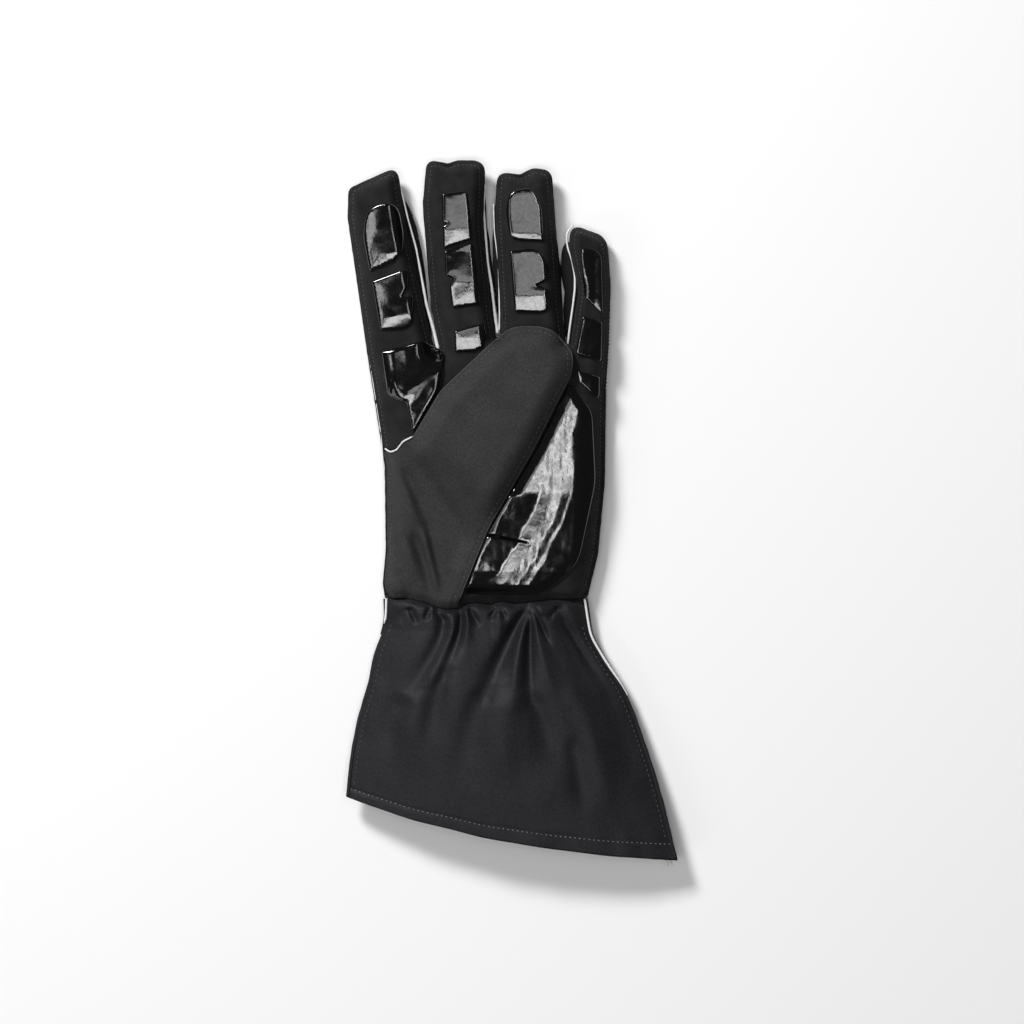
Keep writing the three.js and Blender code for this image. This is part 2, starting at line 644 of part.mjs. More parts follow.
function gripGeometry(corners, crown, reach, clearance) {
  const outline = resample(roundedLine(corners, true, 2), 4.5, true);
  const loop = [...outline, outline[0]];
  const bottom = (x, y) => palmOuter(x, y) + clearance;
  const top = (x, y) => bottom(x, y) + GRIP + crown * dome(distanceToLine(loop, x, y) / reach);
  return sheet(outline, bottom, top, crown ? PALM_GRIP_SPACING : GRIP_SPACING);
}

function foldDepth(x, y) {
  let depth = 0;
  for (const fold of cuffFolds) {
    const line = new THREE.QuadraticBezierCurve(
      new THREE.Vector2(fold.x0, fold.y0),
      new THREE.Vector2(fold.x1, fold.y1),
      new THREE.Vector2(fold.x2, fold.y2),
    ).getPoints(8);
    const away = distanceToLine(line, x, y);
    const left = 1 - clamp01((fold.y0 - y) / (fold.y0 - fold.y2 + FOLD_RUN_OUT));
    depth += fold.depth * Math.exp(-((away / fold.width) ** 2)) * Math.sqrt(left);
  }
  return depth;
}

const gatherWave = (u) => Math.cos(u * Math.PI * (GATHERS / 2 + GATHER_CROWDING * u));

// A point of the cuff at u from seam to seam and v from wrist to hem, on its palm side or its back.
function cuffPlace(u, v, palmSide) {
  const at = (column) => read(cuffSections, column, v);
  const t = (u + 1) / 2;
  const x = THREE.MathUtils.lerp(at('lx'), at('rx'), t);
  const bulge = 1 - u * u;
  const y = THREE.MathUtils.lerp(at('ly'), at('ry'), t) + at('bow') * bulge * (palmSide ? 1 : BACK_BOW);
  const hem = smooth(CUFF_LENGTH - HEM_WIDTH - 2, CUFF_LENGTH - HEM_WIDTH, v * CUFF_LENGTH);
  const wall = CUFF_CLOTH + HEM_EXTRA * hem;
  const shape = 1 - Math.abs(u) ** at('edge');
  const gather = Math.exp(-(((v - GATHER_PEAK) / GATHER_FADE) ** 2)) * bulge;
  if (palmSide) {
    const rise = at('rise') * shape + GATHER_DEPTH * gather * gatherWave(u) - foldDepth(x, y) * bulge;
    const z = at('seam') + GAP / 2 + Math.max(0, rise);
    return { outer: new THREE.Vector3(x, y, z + wall), inner: new THREE.Vector3(x, y, z) };
  }
  const drop = 1 - Math.abs(u) ** BACK_EDGE;
  const wave = BACK_GATHER_DEPTH * gatherWave(u) * bulge;
  const wristLift = (BACK_WRIST_LIFT + wave) * (1 - smooth(0, BACK_CUFF_FADE, v));
  const z = (at('seam') - GAP / 2 - wall) * (1 - drop) + wristLift * drop;
  return { outer: new THREE.Vector3(x, y, z), inner: new THREE.Vector3(x, y, z + wall) };
}

// Points of a finger's edge on one side of its tip between two levels, from the upper one down.
function fingerEdge(finger, side, high, low) {
  const line = resample(roundedLine(finger, false, 4), 7, false);
  const top = line.reduce((best, p, i) => (p.y > line[best].y ? i : best), 0);
  const part = side === 'right' ? line.slice(top) : line.slice(0, top).reverse();
  return part.filter((p) => p.y < high && p.y > low);
}

// A fourchette: one strip that lines the side of a finger, the crotch and the side of the next finger.
function fourchette({ left, right }) {
  const down = fingerEdge(left.finger, 'right', left.top, 0);
  const up = fingerEdge(right.finger, 'left', right.top, 0).reverse();
  const crotch = Math.min(down[down.length - 1].y, up[0].y);
  const path = [...down, ...up];
  const lean = path.map((p, i) => {
    const wall = i < down.length ? left : right;
    const t = clamp01((p.y - crotch) / (wall.top - crotch));
    const phase = t < wall.peak ? (0.5 * t) / wall.peak : 0.5 + (0.5 * (t - wall.peak)) / (1 - wall.peak);
    return wall.lean * Math.sin(Math.PI * phase) ** 1.5;
  });
  return bar(path, (p, side, i) => {
    const top = seamZ(p.y) - GAP / 2;
    const foot = lift(p.y) + WALL_FOOT_Z;
    const inner = -BACK_INSET + 2 * GAP;
    const corner = (out, z) => new THREE.Vector3(p.x - side.x * out, p.y - side.y * out, z);
    return [
      corner(inner + WALL_THICKNESS, top),
      corner(inner + WALL_THICKNESS + lean[i], foot),
      corner(inner + lean[i], foot),
      corner(inner, top),
    ];
  });
}

// A round cord that follows a line at the height that height(point, index) gives.
function piping(path, radius, height, sides = 6) {
  return bar(path, (p, side, i) => {
    const middle = new THREE.Vector3(p.x, p.y, height(p, i));
    const corners = [];
    for (let k = 0; k < sides; k += 1) {
      const angle = (2 * Math.PI * k) / sides;
      const out = radius * Math.cos(angle);
      corners.push(new THREE.Vector3(side.x * out, side.y * out, radius * Math.sin(angle)).add(middle));
    }
    return corners;
  });
}

// The line a piping takes beside an edge, moved out from it by the given distance.
function beside(points, distance) {
  return points.map((p, i) => {
    const before = points[Math.max(0, i - 1)];
    const after = points[Math.min(points.length - 1, i + 1)];
    const along = new THREE.Vector2(after.x - before.x, after.y - before.y).normalize();
    return new THREE.Vector2(p.x + along.y * distance, p.y - along.x * distance);
  });
}

const glove = new THREE.Group();
function add(name, geometry, material) {
  const mesh = new THREE.Mesh(geometry, material);
  mesh.name = name;
  glove.add(mesh);
}

add('palm_panel', sheet(palmOutline, palmInner, palmOuter, PALM_SPACING), cloth);
const backOuter = (x, y) => backInner(x, y) - CLOTH;
add('back_panel', sheet(backOutline, backOuter, backInner, BACK_SPACING, BACK_RING), cloth);
const thumbOuter = (x, y) => thumbInner(x, y) + CLOTH;
add('thumb_panel', sheet(thumbOutline, thumbInner, thumbOuter, THUMB_SPACING), cloth);
const thumbLiningUpper = (x, y) => thumbLiningLower(x, y) + THUMB_WALL;
add('thumb_inner_panel', sheet(liningOutline, thumbLiningLower, thumbLiningUpper, LINING_SPACING), cloth);
for (const wall of sideWalls) add(wall.name, fourchette(wall), cloth);
for (const [name, corners] of Object.entries(grips)) {
  const clearance = slimGrips.includes(name) ? SLIM_GRIP_LIFT : GRIP_LIFT;
  add(name, gripGeometry(corners, 0, 1, clearance), silicone);
}
add('palm_grip', gripGeometry(palmGrip, PALM_GRIP_CROWN, PALM_GRIP_REACH, GRIP_LIFT), silicone);

for (const { name, finger, side, high, low, radius } of fingerPipings) {
  const edge = fingerEdge(finger, side, high, low);
  const outwards = side === 'right' ? -(GAP + radius) : GAP + radius;
  const height = (p) => seamZ(p.y) + GAP / 2 + CLOTH / 2;
  add(name, piping(beside(edge, outwards), radius, height), whiteCord);
}
for (const { name, side, from, to } of cuffPipings) {
  const places = [];
  for (let k = 0; k <= 8; k += 1) places.push(THREE.MathUtils.lerp(from, to, k / 8));
  const edge = places.map((v) => cuffPlace(side, v, true).outer).map(({ x, y }) => new THREE.Vector2(x, y));
  const height = (p, i) => read(cuffSections, 'seam', places[i]) + GAP / 2 + CUFF_CLOTH / 2;
  add(name, piping(beside(edge, -side * (GAP + CUFF_PIPING_RADIUS)), CUFF_PIPING_RADIUS, height), whiteCord);
}

const palmRows = [0, 0.025, 0.05, 0.08, 0.12, 0.18, 0.26, 0.36, 0.48, 0.61, 0.74, 0.86, 0.93, 0.945, 1];
const backRows = [0, 0.05, 0.12, 0.24, 0.4, 0.6, 0.8, 0.93, 0.945, 1];
add('cuff_palm_panel', gridSheet(36, palmRows, (u, v) => cuffPlace(u, v, true), false), cuffCloth);
add('cuff_back_panel', gridSheet(16, backRows, (u, v) => cuffPlace(u, v, false), true), cuffCloth);

export default glove;
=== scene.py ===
"""The looks of a left-hand driver's glove that lies palm up, its thumb folded over the palm.

Tables are in millimetres in the frame of the solids: +X to the little finger's side, +Y to the fingertips,
+Z up from the surface that the glove lies on.
"""

import logging
import math
from collections.abc import Callable, Sequence
from dataclasses import dataclass, field
from enum import Enum
from functools import partial
from typing import NamedTuple

import bpy
import numpy as np
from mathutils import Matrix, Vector
from mathutils.geometry import delaunay_2d_cdt


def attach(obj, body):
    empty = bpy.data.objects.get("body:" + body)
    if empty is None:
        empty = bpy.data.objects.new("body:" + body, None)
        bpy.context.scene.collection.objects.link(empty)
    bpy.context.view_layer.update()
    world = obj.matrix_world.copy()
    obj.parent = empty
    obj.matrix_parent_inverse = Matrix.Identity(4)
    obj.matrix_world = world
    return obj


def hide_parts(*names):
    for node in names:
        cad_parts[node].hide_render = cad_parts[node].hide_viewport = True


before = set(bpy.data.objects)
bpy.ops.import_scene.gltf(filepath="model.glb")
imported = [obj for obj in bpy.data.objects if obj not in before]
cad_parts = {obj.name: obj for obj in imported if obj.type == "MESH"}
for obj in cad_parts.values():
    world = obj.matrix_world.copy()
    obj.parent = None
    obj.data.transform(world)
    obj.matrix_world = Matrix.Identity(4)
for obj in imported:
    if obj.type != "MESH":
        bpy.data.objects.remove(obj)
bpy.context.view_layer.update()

MM = 0.001
BATCH = 4000
Array = np.ndarray
Height = Callable[[Array, Array], Array]
Mesh = tuple[Array, list]
Colour = tuple[float, float, float]
Piece = bpy.types.Object
Material = bpy.types.Material
Socket = bpy.types.NodeSocket
Values = dict[str | int, object]
log = logging.getLogger("glove")


class Corner(NamedTuple):
    """A corner of an outline, rounded by a radius."""

    x: float
    y: float
    r: float = 0.0


def outline(*rows: tuple[float, ...]) -> tuple[Corner, ...]:
    """Makes corners from rows of their values."""
    return tuple(Corner(*row) for row in rows)


class Side(Enum):
    """The two sides of a finger or of the cuff, seen from above."""

    LEFT = -1
    RIGHT = 1


class Finger(Enum):
    """The four fingers, from left to right."""

    INDEX = 0
    MIDDLE = 1
    RING = 2
    LITTLE = 3


def smooth(low: float, high: float, t: Array) -> Array:
    """Eases from 0 at low to 1 at high.

    Args:
        low: where the ease starts.
        high: where it ends.
        t: the values to ease.

    Returns:
        The eased values.
    """
    s = np.clip((t - low) / (high - low), 0, 1)
    return s * s * (3 - 2 * s)


def dome(s: Array) -> Array:
    """A pillow's rise from its seam: steep at 0, level from 1 on."""
    return 1 - (1 - np.clip(s, 0, 1)) ** 2


def bump(distance: Array, width: float) -> Array:
    """A soft round ridge across a line, 1 on the line."""
    return np.exp(-((distance / width) ** 2))


def rounded(corners: Sequence[Corner], closed: bool, step: float) -> Array:
    """Joins corners by straight stretches and rounds them.

    Args:
        corners: the corners in order.
        closed: whether the last one joins the first.
        step: the longest step between two points.

    Returns:
        The points, one row each.
    """
    points: list[Array] = []
    count = len(corners)
    for i, corner in enumerate(corners):
        here = np.array(corner[:2], float)
        if (not closed and i in (0, count - 1)) or corner.r == 0:
            points.append(here)
            continue
        before = np.array(corners[i - 1][:2], float) - here
        after = np.array(corners[(i + 1) % count][:2], float) - here
        room = 0.49 * min(np.linalg.norm(before), np.linalg.norm(after))
        before, after = before / np.linalg.norm(before), after / np.linalg.norm(after)
        half = math.acos(float(np.clip(before @ after, -1, 1))) / 2
        cut = min(corner.r / math.tan(half), room)
        start, end = here + before * cut, here + after * cut
        for t in np.linspace(0, 1, 9):
            points.append((1 - t) ** 2 * start + 2 * t * (1 - t) * here + t * t * end)
    return spaced(np.array(points), closed, step)


def spaced(points: Array, closed: bool, step: float) -> Array:
    """Lays points at even steps along a line.

    Args:
        points: the line's points, flat or in space.
        closed: whether the line is a loop.
        step: the wanted step.

    Returns:
        The even points; a loop's first point isn't repeated.
    """
    loop = np.vstack([points, points[:1]]) if closed else points
    lengths = np.linalg.norm(np.diff(loop, axis=0), axis=1)
    keep = np.concatenate([[True], lengths > 1e-6])
    loop = loop[keep]
    along = np.concatenate([[0], np.cumsum(lengths[lengths > 1e-6])])
    pieces = max(2, round(along[-1] / step))
    at = np.linspace(0, along[-1], pieces + 1)
    if closed:
        at = at[:-1]
    return np.stack([np.interp(at, along, loop[:, k]) for k in range(loop.shape[1])], axis=1)


def away_from(line: Array, x: Array, y: Array, closed: bool = False) -> Array:
    """The distance of each place from a line.

    Args:
        line: the line's points.
        x: the places' x.
        y: the places' y.
        closed: whether the line is a loop.

    Returns:
        One distance for each place.
    """
    ends = np.vstack([line, line[:1]]) if closed else line
    a, d = ends[:-1, :2], np.diff(ends[:, :2], axis=0)
    size = np.maximum((d * d).sum(1), 1e-12)
    places = np.stack([np.ravel(x), np.ravel(y)], axis=1)
    best = np.empty(len(places))
    for start in range(0, len(places), BATCH):
        p = places[start:start + BATCH, None, :] - a[None]
        t = np.clip((p * d[None]).sum(2) / size, 0, 1)
        best[start:start + BATCH] = np.linalg.norm(p - t[..., None] * d[None], axis=2).min(1)
    return best.reshape(np.shape(x))


def within(loop: Array, x: Array, y: Array) -> Array:
    """Whether each place lies inside a loop.

    Args:
        loop: the loop's points.
        x: the places' x.
        y: the places' y.

    Returns:
        True for each place inside.
    """
    flat_x, flat_y = np.ravel(x), np.ravel(y)
    odd = np.zeros(len(flat_x), bool)
    for (ax, ay), (bx, by) in zip(loop, np.roll(loop, 1, axis=0)):
        crosses = (ay > flat_y) != (by > flat_y)
        if crosses.any():
            odd ^= crosses & (flat_x < (bx - ax) * (flat_y - ay) / ((by - ay) or 1e-12) + ax)
    return odd.reshape(np.shape(x))


def unit(vectors: Array) -> Array:
    """Each row scaled to length 1."""
    return vectors / np.maximum(np.linalg.norm(vectors, axis=1, keepdims=True), 1e-9)


def offset(points: Array, amount: float, closed: bool = False) -> Array:
    """Moves a line sideways, to the right of its direction.

    Args:
        points: the flat line.
        amount: how far, to the right if positive.
        closed: whether the line is a loop.

    Returns:
        The moved points.
    """
    if closed:
        along = unit(np.roll(points, -1, axis=0) - np.roll(points, 1, axis=0))
    else:
        along = unit(np.gradient(points, axis=0))
    return points + amount * np.stack([along[:, 1], -along[:, 0]], axis=1)


def waves(x: Array, y: Array, length: float, seed: int) -> Array:
    """A smooth, irregular ripple made of a few crossing waves.

    Args:
        x: the places' x.
        y: the places' y.
        length: the usual length of a wave.
        seed: picks the waves' directions and starts.

    Returns:
        Heights from about -1 to 1.
    """
    chance = np.random.default_rng(seed)
    total = np.zeros(np.shape(x))
    for _ in range(6):
        turn, start = chance.uniform(0, 2 * math.pi, 2)
        scale = 2 * math.pi / (length * chance.uniform(0.7, 1.5))
        total += np.sin(scale * (x * math.cos(turn) + y * math.sin(turn)) + start)
    return total / 4


def fill(loop: Array, spacing: float, rings: tuple[float, ...]) -> tuple[Array, Array]:
    """Fills a loop with small even triangles.

    Args:
        loop: the loop's points.
        spacing: the usual side of a triangle.
        rings: distances inside the loop at which extra rows of points follow it.

    Returns:
        The points and the triangles.
    """
    low, high = loop.min(0), loop.max(0)
    rows = np.arange(low[1] + spacing / 2, high[1], spacing * math.sin(math.pi / 3))
    grid = []
    for k, y in enumerate(rows):
        xs = np.arange(low[0] + (k % 2) * spacing / 2, high[0], spacing)
        grid.append(np.stack([xs, np.full(len(xs), y)], axis=1))
    inner = np.vstack(grid)
    inner = inner[within(loop, inner[:, 0], inner[:, 1])]
    room = max(rings, default=0) + 0.5 * spacing
    inner = inner[away_from(loop, inner[:, 0], inner[:, 1], True) > room]
    for ring in rings:
        for amount in (ring, -ring):
            row = offset(loop, amount, True)
            row = row[within(loop, row[:, 0], row[:, 1])]
            row = row[away_from(loop, row[:, 0], row[:, 1], True) > 0.9 * ring]
            inner = np.vstack([inner, row])
    every = np.vstack([loop, inner])
    count = len(loop)
    edges = [(i, (i + 1) % count) for i in range(count)]
    made = delaunay_2d_cdt([Vector(p) for p in every], edges, [], 1, 1e-6)
    points = np.array([tuple(p) for p in made[0]])
    faces = np.array([f for f in made[2] if len(f) == 3], int)
    a, b, c = points[faces[:, 0]], points[faces[:, 1]], points[faces[:, 2]]
    turn = (b[:, 0] - a[:, 0]) * (c[:, 1] - a[:, 1]) - (b[:, 1] - a[:, 1]) * (c[:, 0] - a[:, 0])
    faces[turn < 0] = faces[turn < 0][:, ::-1]
    middle = points[faces].mean(1)
    return points, faces[within(loop, middle[:, 0], middle[:, 1])]


def add_mesh(name: str, points: Array, faces: list | Array, material: Material) -> Piece:
    """Makes a smooth mesh object that rides on the glove.

    Args:
        name: the piece's name.
        points: its points in millimetres.
        faces: the corners of each face.
        material: its finish.

    Returns:
        The new object.
    """
    mesh = bpy.data.meshes.new(name)
    corners = faces.tolist() if isinstance(faces, np.ndarray) else faces
    mesh.from_pydata((np.asarray(points, float) * MM).tolist(), [], corners)
    mesh.validate()
    mesh.update()
    mesh.shade_smooth()
    mesh.materials.append(material)
    piece = bpy.data.objects.new(name, mesh)
    bpy.context.scene.collection.objects.link(piece)
    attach(piece, "root")
    return piece


def cloth_over(
    name: str,
    loop: Array,
    top: Height,
    thickness: float,
    spacing: float,
    material: Material,
    rings: tuple[float, ...] = (),
) -> Piece:
    """Makes a sheet over a flat outline.

    Args:
        name: the piece's name.
        loop: the outline.
        top: the height of its upper face.
        thickness: its thickness, measured straight down.
        spacing: the usual side of its triangles.
        material: its finish.
        rings: distances inside the outline at which extra rows of points follow it.

    Returns:
        The closed sheet.
    """
    points, faces = fill(loop, spacing, rings)
    z = top(points[:, 0], points[:, 1])
    upper = np.column_stack([points, z])
    lower = np.column_stack([points, z - thickness])
    count = len(points)
    edges = dict.fromkeys((int(f[k]), int(f[(k + 1) % 3])) for f in faces for k in range(3))
    sides = [(b, a, a + count, b + count) for a, b in edges if (b, a) not in edges]
    every = faces.tolist() + (faces[:, ::-1] + count).tolist() + sides
    return add_mesh(name, np.vstack([upper, lower]), every, material)


def tube(
    name: str,
    path: Array,
    radius: float | Array,
    material: Material,
    sides: int = 10,
    flat: float = 1.0,
) -> Piece:
    """Makes a cord along a path.

    Args:
        name: the piece's name.
        path: its points in space.
        radius: its radius, the same or for each point.
        material: its finish.
        sides: how many sides it has.
        flat: its height for its width.

    Returns:
        The cord.
    """
    return add_mesh(name, *tube_faces(path, radius, sides, flat), material)


def tube_faces(path: Array, radius: float | Array, sides: int, flat: float) -> Mesh:
    """Works out a cord's points and faces.

    Args:
        path: its points in space.
        radius: its radius, the same or for each point.
        sides: how many sides it has.
        flat: its height for its width.

    Returns:
        The points and the faces.
    """
    count = len(path)
    radii = np.broadcast_to(np.asarray(radius, float), (count,))
    along = unit(np.gradient(path, axis=0))
    side = unit(np.cross(along, np.array([0, 0, 1.0])))
    up = np.cross(side, along)
    angle = np.linspace(0, 2 * math.pi, sides, endpoint=False)
    ring = side[:, None] * np.cos(angle)[None, :, None] + flat * up[:, None] * np.sin(angle)[None, :, None]
    points = (path[:, None] + ring * radii[:, None, None]).reshape(-1, 3)
    last = (count - 1) * sides
    faces: list = []
    for start in range(0, last, sides):
        for k in range(sides):
            a, b = start + k, start + (k + 1) % sides
            faces.append((a, a + sides, b + sides, b))
    faces.append(tuple(range(sides)))
    faces.append(tuple(reversed(range(last, last + sides))))
    return points, faces


def joined(parts: list[Mesh]) -> Mesh:
    """Joins several meshes into one.

    Args:
        parts: the points and faces of each.

    Returns:
        The points and faces of all.
    """
    faces: list = []
    total = 0
    for points, sides in parts:
        faces += [tuple(v + total for v in side) for side in sides]
        total += len(points)
    return np.vstack([points for points, _ in parts]), faces


@dataclass(frozen=True)
class StitchRow:
    """A row of thread stitches along a path."""

    pitch: float
    length: float
    radius: float
    seed: int
    sink: float = 0.06
    uneven: float = 0.12
    step: float = 0.4
    start: float = 0.3
    arch: tuple[float, ...] = (-0.5, 0.6, 1, 0.6, -0.5)
    taper: tuple[float, ...] = (0.45, 0.95, 1, 0.95, 0.45)

    def mesh(self, path: Array) -> Mesh:
        """Works out the row's stitches.

        Args:
            path: the row's points in space.

        Returns:
            The points and the faces of all its stitches.
        """
        chance = np.random.default_rng(self.seed)
        line = spaced(path, False, self.step)
        lengths = np.linalg.norm(np.diff(line, axis=0), axis=1)
        along = np.concatenate([[0], np.cumsum(lengths)])
        stitches = []
        for start in np.arange(self.start, along[-1] - self.length, self.pitch):
            first = start + chance.uniform(-self.uneven, self.uneven)
            at = first + np.linspace(0, self.length, len(self.arch))
            part = np.stack([np.interp(at, along, line[:, k]) for k in range(3)], axis=1)
            part[:, 2] += np.array(self.arch) * self.radius - self.sink
            thick = self.radius * np.array(self.taper) * chance.uniform(0.9, 1.1)
            stitches.append(tube_faces(part, thick, 6, 0.8))
        return joined(stitches)

    def sew(self, name: str, path: Array, thread: Material) -> Piece:
        """Sews the row as a piece of its own.

        Args:
            name: the piece's name.
            path: the row's points in space.
            thread: its finish.

        Returns:
            The piece.
        """
        return add_mesh(name, *self.mesh(path), thread)


@dataclass(frozen=True)
class Nodes:
    """A small helper that builds one material's nodes."""

    material: Material

    @property
    def shader(self) -> bpy.types.Node:
        """The main shader."""
        return self.material.node_tree.nodes["Principled BSDF"]

    def add(self, kind: str, sockets: Values | None = None, **settings: str) -> bpy.types.Node:
        """Adds a node.

        Args:
            kind: Blender's name of the node.
            sockets: the values of its sockets.
            settings: its other settings.

        Returns:
            The new node.
        """
        node = self.material.node_tree.nodes.new(kind)
        for key, value in settings.items():
            setattr(node, key, value)
        for key, value in (sockets or {}).items():
            node.inputs[key].default_value = value
        return node

    def join(self, source: Socket, target: Socket) -> None:
        """Links one socket to another."""
        self.material.node_tree.links.new(source, target)

    def finish(self, values: Values) -> None:
        """Sets values on the main shader's own sockets."""
        for key, value in values.items():
            self.shader.inputs[key].default_value = value

    def place(self, turn: float = 0.0) -> Socket:
        """The place on the piece in metres.

        Args:
            turn: an angle in radians by which it is turned about Z.

        Returns:
            The socket that gives it.
        """
        where = self.add("ShaderNodeTexCoord")
        mapping = self.add("ShaderNodeMapping", {"Rotation": (0, 0, turn)})
        self.join(where.outputs["Object"], mapping.inputs["Vector"])
        return mapping.outputs["Vector"]

    def noise(self, size_mm: float, detail: float = 2.0, rough: float = 0.5) -> Socket:
        """A noise of a given grain.

        Args:
            size_mm: the usual size of a grain.
            detail: how many finer layers it has.
            rough: how strong those are.

        Returns:
            The socket that gives its value.
        """
        values = {"Scale": 1000 / size_mm, "Detail": detail, "Roughness": rough}
        node = self.add("ShaderNodeTexNoise", values)
        self.join(self.place(), node.inputs["Vector"])
        return node.outputs["Fac"]

    def ranged(self, value: Socket, low: float, high: float, start: float, end: float) -> Socket:
        """Maps a value from one range to another.

        Args:
            value: the value.
            low: the lower end of its range.
            high: the upper end of its range.
            start: what the lower end becomes.
            end: what the upper end becomes.

        Returns:
            The socket that gives the mapped value.
        """
        values = {"From Min": low, "From Max": high, "To Min": start, "To Max": end}
        node = self.add("ShaderNodeMapRange", values)
        self.join(value, node.inputs["Value"])
        return node.outputs["Result"]

    def multiplied(self, one: Socket, other: Socket) -> Socket:
        """Multiplies two colours.

        Args:
            one: the first colour.
            other: the second colour.

        Returns:
            The socket that gives their product.
        """
        mix = self.add("ShaderNodeMix", data_type="RGBA", blend_type="MULTIPLY")
        mix.inputs[0].default_value = 1.0
        self.join(one, mix.inputs[6])
        self.join(other, mix.inputs[7])
        return mix.outputs[2]

    def ramp(self, value: Socket, stops: list[tuple[float, Colour]]) -> Socket:
        """Turns a value into a colour.

        Args:
            value: the value.
            stops: places from 0 to 1 with their colours.

        Returns:
            The socket that gives the colour.
        """
        node = self.add("ShaderNodeValToRGB")
        elements = node.color_ramp.elements
        while len(elements) < len(stops):
            elements.new(0.5)
        for element, (at, colour) in zip(elements, stops):
            element.position = at
            element.color = (*colour, 1.0)
        self.join(value, node.inputs["Fac"])
        return node.outputs["Color"]

    def relief(self, value: Socket, depth_mm: float, strength: float) -> None:
        """Adds fine relief to the surface, on top of what it has.

        Args:
            value: the height, from 0 to 1.
            depth_mm: the depth that 1 stands for.
            strength: how much of it shows.
        """
        node = self.add("ShaderNodeBump", {"Distance": depth_mm * MM, "Strength": strength})
        self.join(value, node.inputs["Height"])
        socket = self.shader.inputs["Normal"]
        if socket.is_linked:
            self.join(socket.links[0].from_socket, node.inputs["Normal"])
        self.join(node.outputs["Normal"], socket)


def new_material(name: str) -> Nodes:
    """Makes an empty material.

    Args:
        name: its name.

    Returns:
        The helper that builds it.
    """
    material = bpy.data.materials.new(name)
    material.use_nodes = True
    return Nodes(material)


def grey(tone: float) -> Colour:
    """A neutral colour."""
    return (tone, tone, tone)


@dataclass(frozen=True)
class Suede:
    """Fine matt microsuede, with short nap that mottles a little."""

    name: str = "palm_suede"
    dark: Colour = (0.0105, 0.0105, 0.0108)
    light: Colour = (0.020, 0.020, 0.0205)

    def build(self) -> Material:
        """Builds the material."""
        nodes = new_material(self.name)
        nodes.finish({"Roughness": 0.92, "Specular IOR Level": 0.1})
        nodes.finish({"Sheen Weight": 0.03, "Sheen Roughness": 0.5})
        mottle = nodes.ramp(nodes.noise(9, 5, 0.6), [(0.3, self.dark), (0.72, self.light)])
        nap = nodes.ramp(nodes.noise(0.35, 2), [(0.25, grey(0.72)), (0.75, grey(1.25))])
        nodes.join(nodes.multiplied(mottle, nap), nodes.shader.inputs["Base Color"])
        nodes.relief(nodes.noise(0.3, 3, 0.6), 0.12, 0.5)
        nodes.relief(nodes.noise(2.5, 3), 0.25, 0.25)
        return nodes.material


@dataclass(frozen=True)
class Weave:
    """Woven or knitted cloth with a fine diagonal rib."""

    name: str
    dark: Colour
    light: Colour
    roughness: float = 0.8
    shine: float = 0.14
    sheen: float = 0.05
    rib_mm: float = 0.5
    rib_depth_mm: float = 0.05
    turn: float = 0.5

    def build(self) -> Material:
        """Builds the material."""
        nodes = new_material(self.name)
        nodes.finish({"Roughness": self.roughness, "Specular IOR Level": self.shine})
        nodes.finish({"Sheen Weight": self.sheen, "Sheen Roughness": 0.35})
        grain = nodes.ramp(nodes.noise(1.0, 3, 0.75), [(0.3, self.dark), (0.7, self.light)])
        patch = nodes.ramp(nodes.noise(14, 3), [(0.3, grey(0.88)), (0.7, grey(1.1))])
        nodes.join(nodes.multiplied(grain, patch), nodes.shader.inputs["Base Color"])
        for turn in (self.turn, self.turn + math.radians(100)):
            values = {"Scale": 1000 / (6.2 * self.rib_mm), "Distortion": 0.6, "Detail": 1.0}
            rib = nodes.add("ShaderNodeTexWave", values, wave_type="BANDS", bands_direction="X")
            nodes.join(nodes.place(turn), rib.inputs["Vector"])
            nodes.relief(rib.outputs["Fac"], self.rib_depth_mm, 0.35)
        nodes.relief(nodes.noise(0.4, 2), 0.08, 0.4)
        return nodes.material


@dataclass(frozen=True)
class Silicone:
    """Glossy moulded silicone with faint pits and smears."""

    name: str = "grip_silicone"
    colour: Colour = (0.002, 0.002, 0.0022)
    polish: float = 0.05
    smear: float = 0.17
    dull: float = 0.6

    def build(self) -> Material:
        """Builds the material."""
        nodes = new_material(self.name)
        nodes.finish({"Base Color": (*self.colour, 1), "IOR": 1.5})
        rough = nodes.ranged(nodes.noise(5, 5, 0.65), 0.35, 0.75, self.polish, self.smear)
        nodes.join(rough, nodes.shader.inputs["Roughness"])
        gleam = nodes.ranged(nodes.noise(1.6, 6, 0.75), 0.3, 0.7, self.dull, 1.0)
        nodes.join(gleam, nodes.shader.inputs["Specular IOR Level"])
        nodes.relief(nodes.noise(7, 3), 0.25, 0.25)
        nodes.relief(nodes.noise(0.9, 3, 0.6), 0.03, 0.3)
        return nodes.material


@dataclass(frozen=True)
class Cord:
    """Twisted thread or cord in one colour, with lighter and darker strands."""

    name: str
    dark: Colour
    light: Colour
    strand_mm: float = 0.5
    roughness: float = 0.6

    def build(self) -> Material:
        """Builds the material."""
        nodes = new_material(self.name)
        nodes.finish({"Roughness": self.roughness})
        colour = nodes.ramp(nodes.noise(self.strand_mm, 2), [(0.35, self.dark), (0.65, self.light)])
        nodes.join(colour, nodes.shader.inputs["Base Color"])
        nodes.relief(nodes.noise(self.strand_mm, 1), 0.15, 0.5)
        return nodes.material


def built(finish: Suede | Weave | Silicone | Cord) -> Material:
    """A field that holds a finish's material, built when the set of finishes is."""
    return field(default_factory=finish.build)


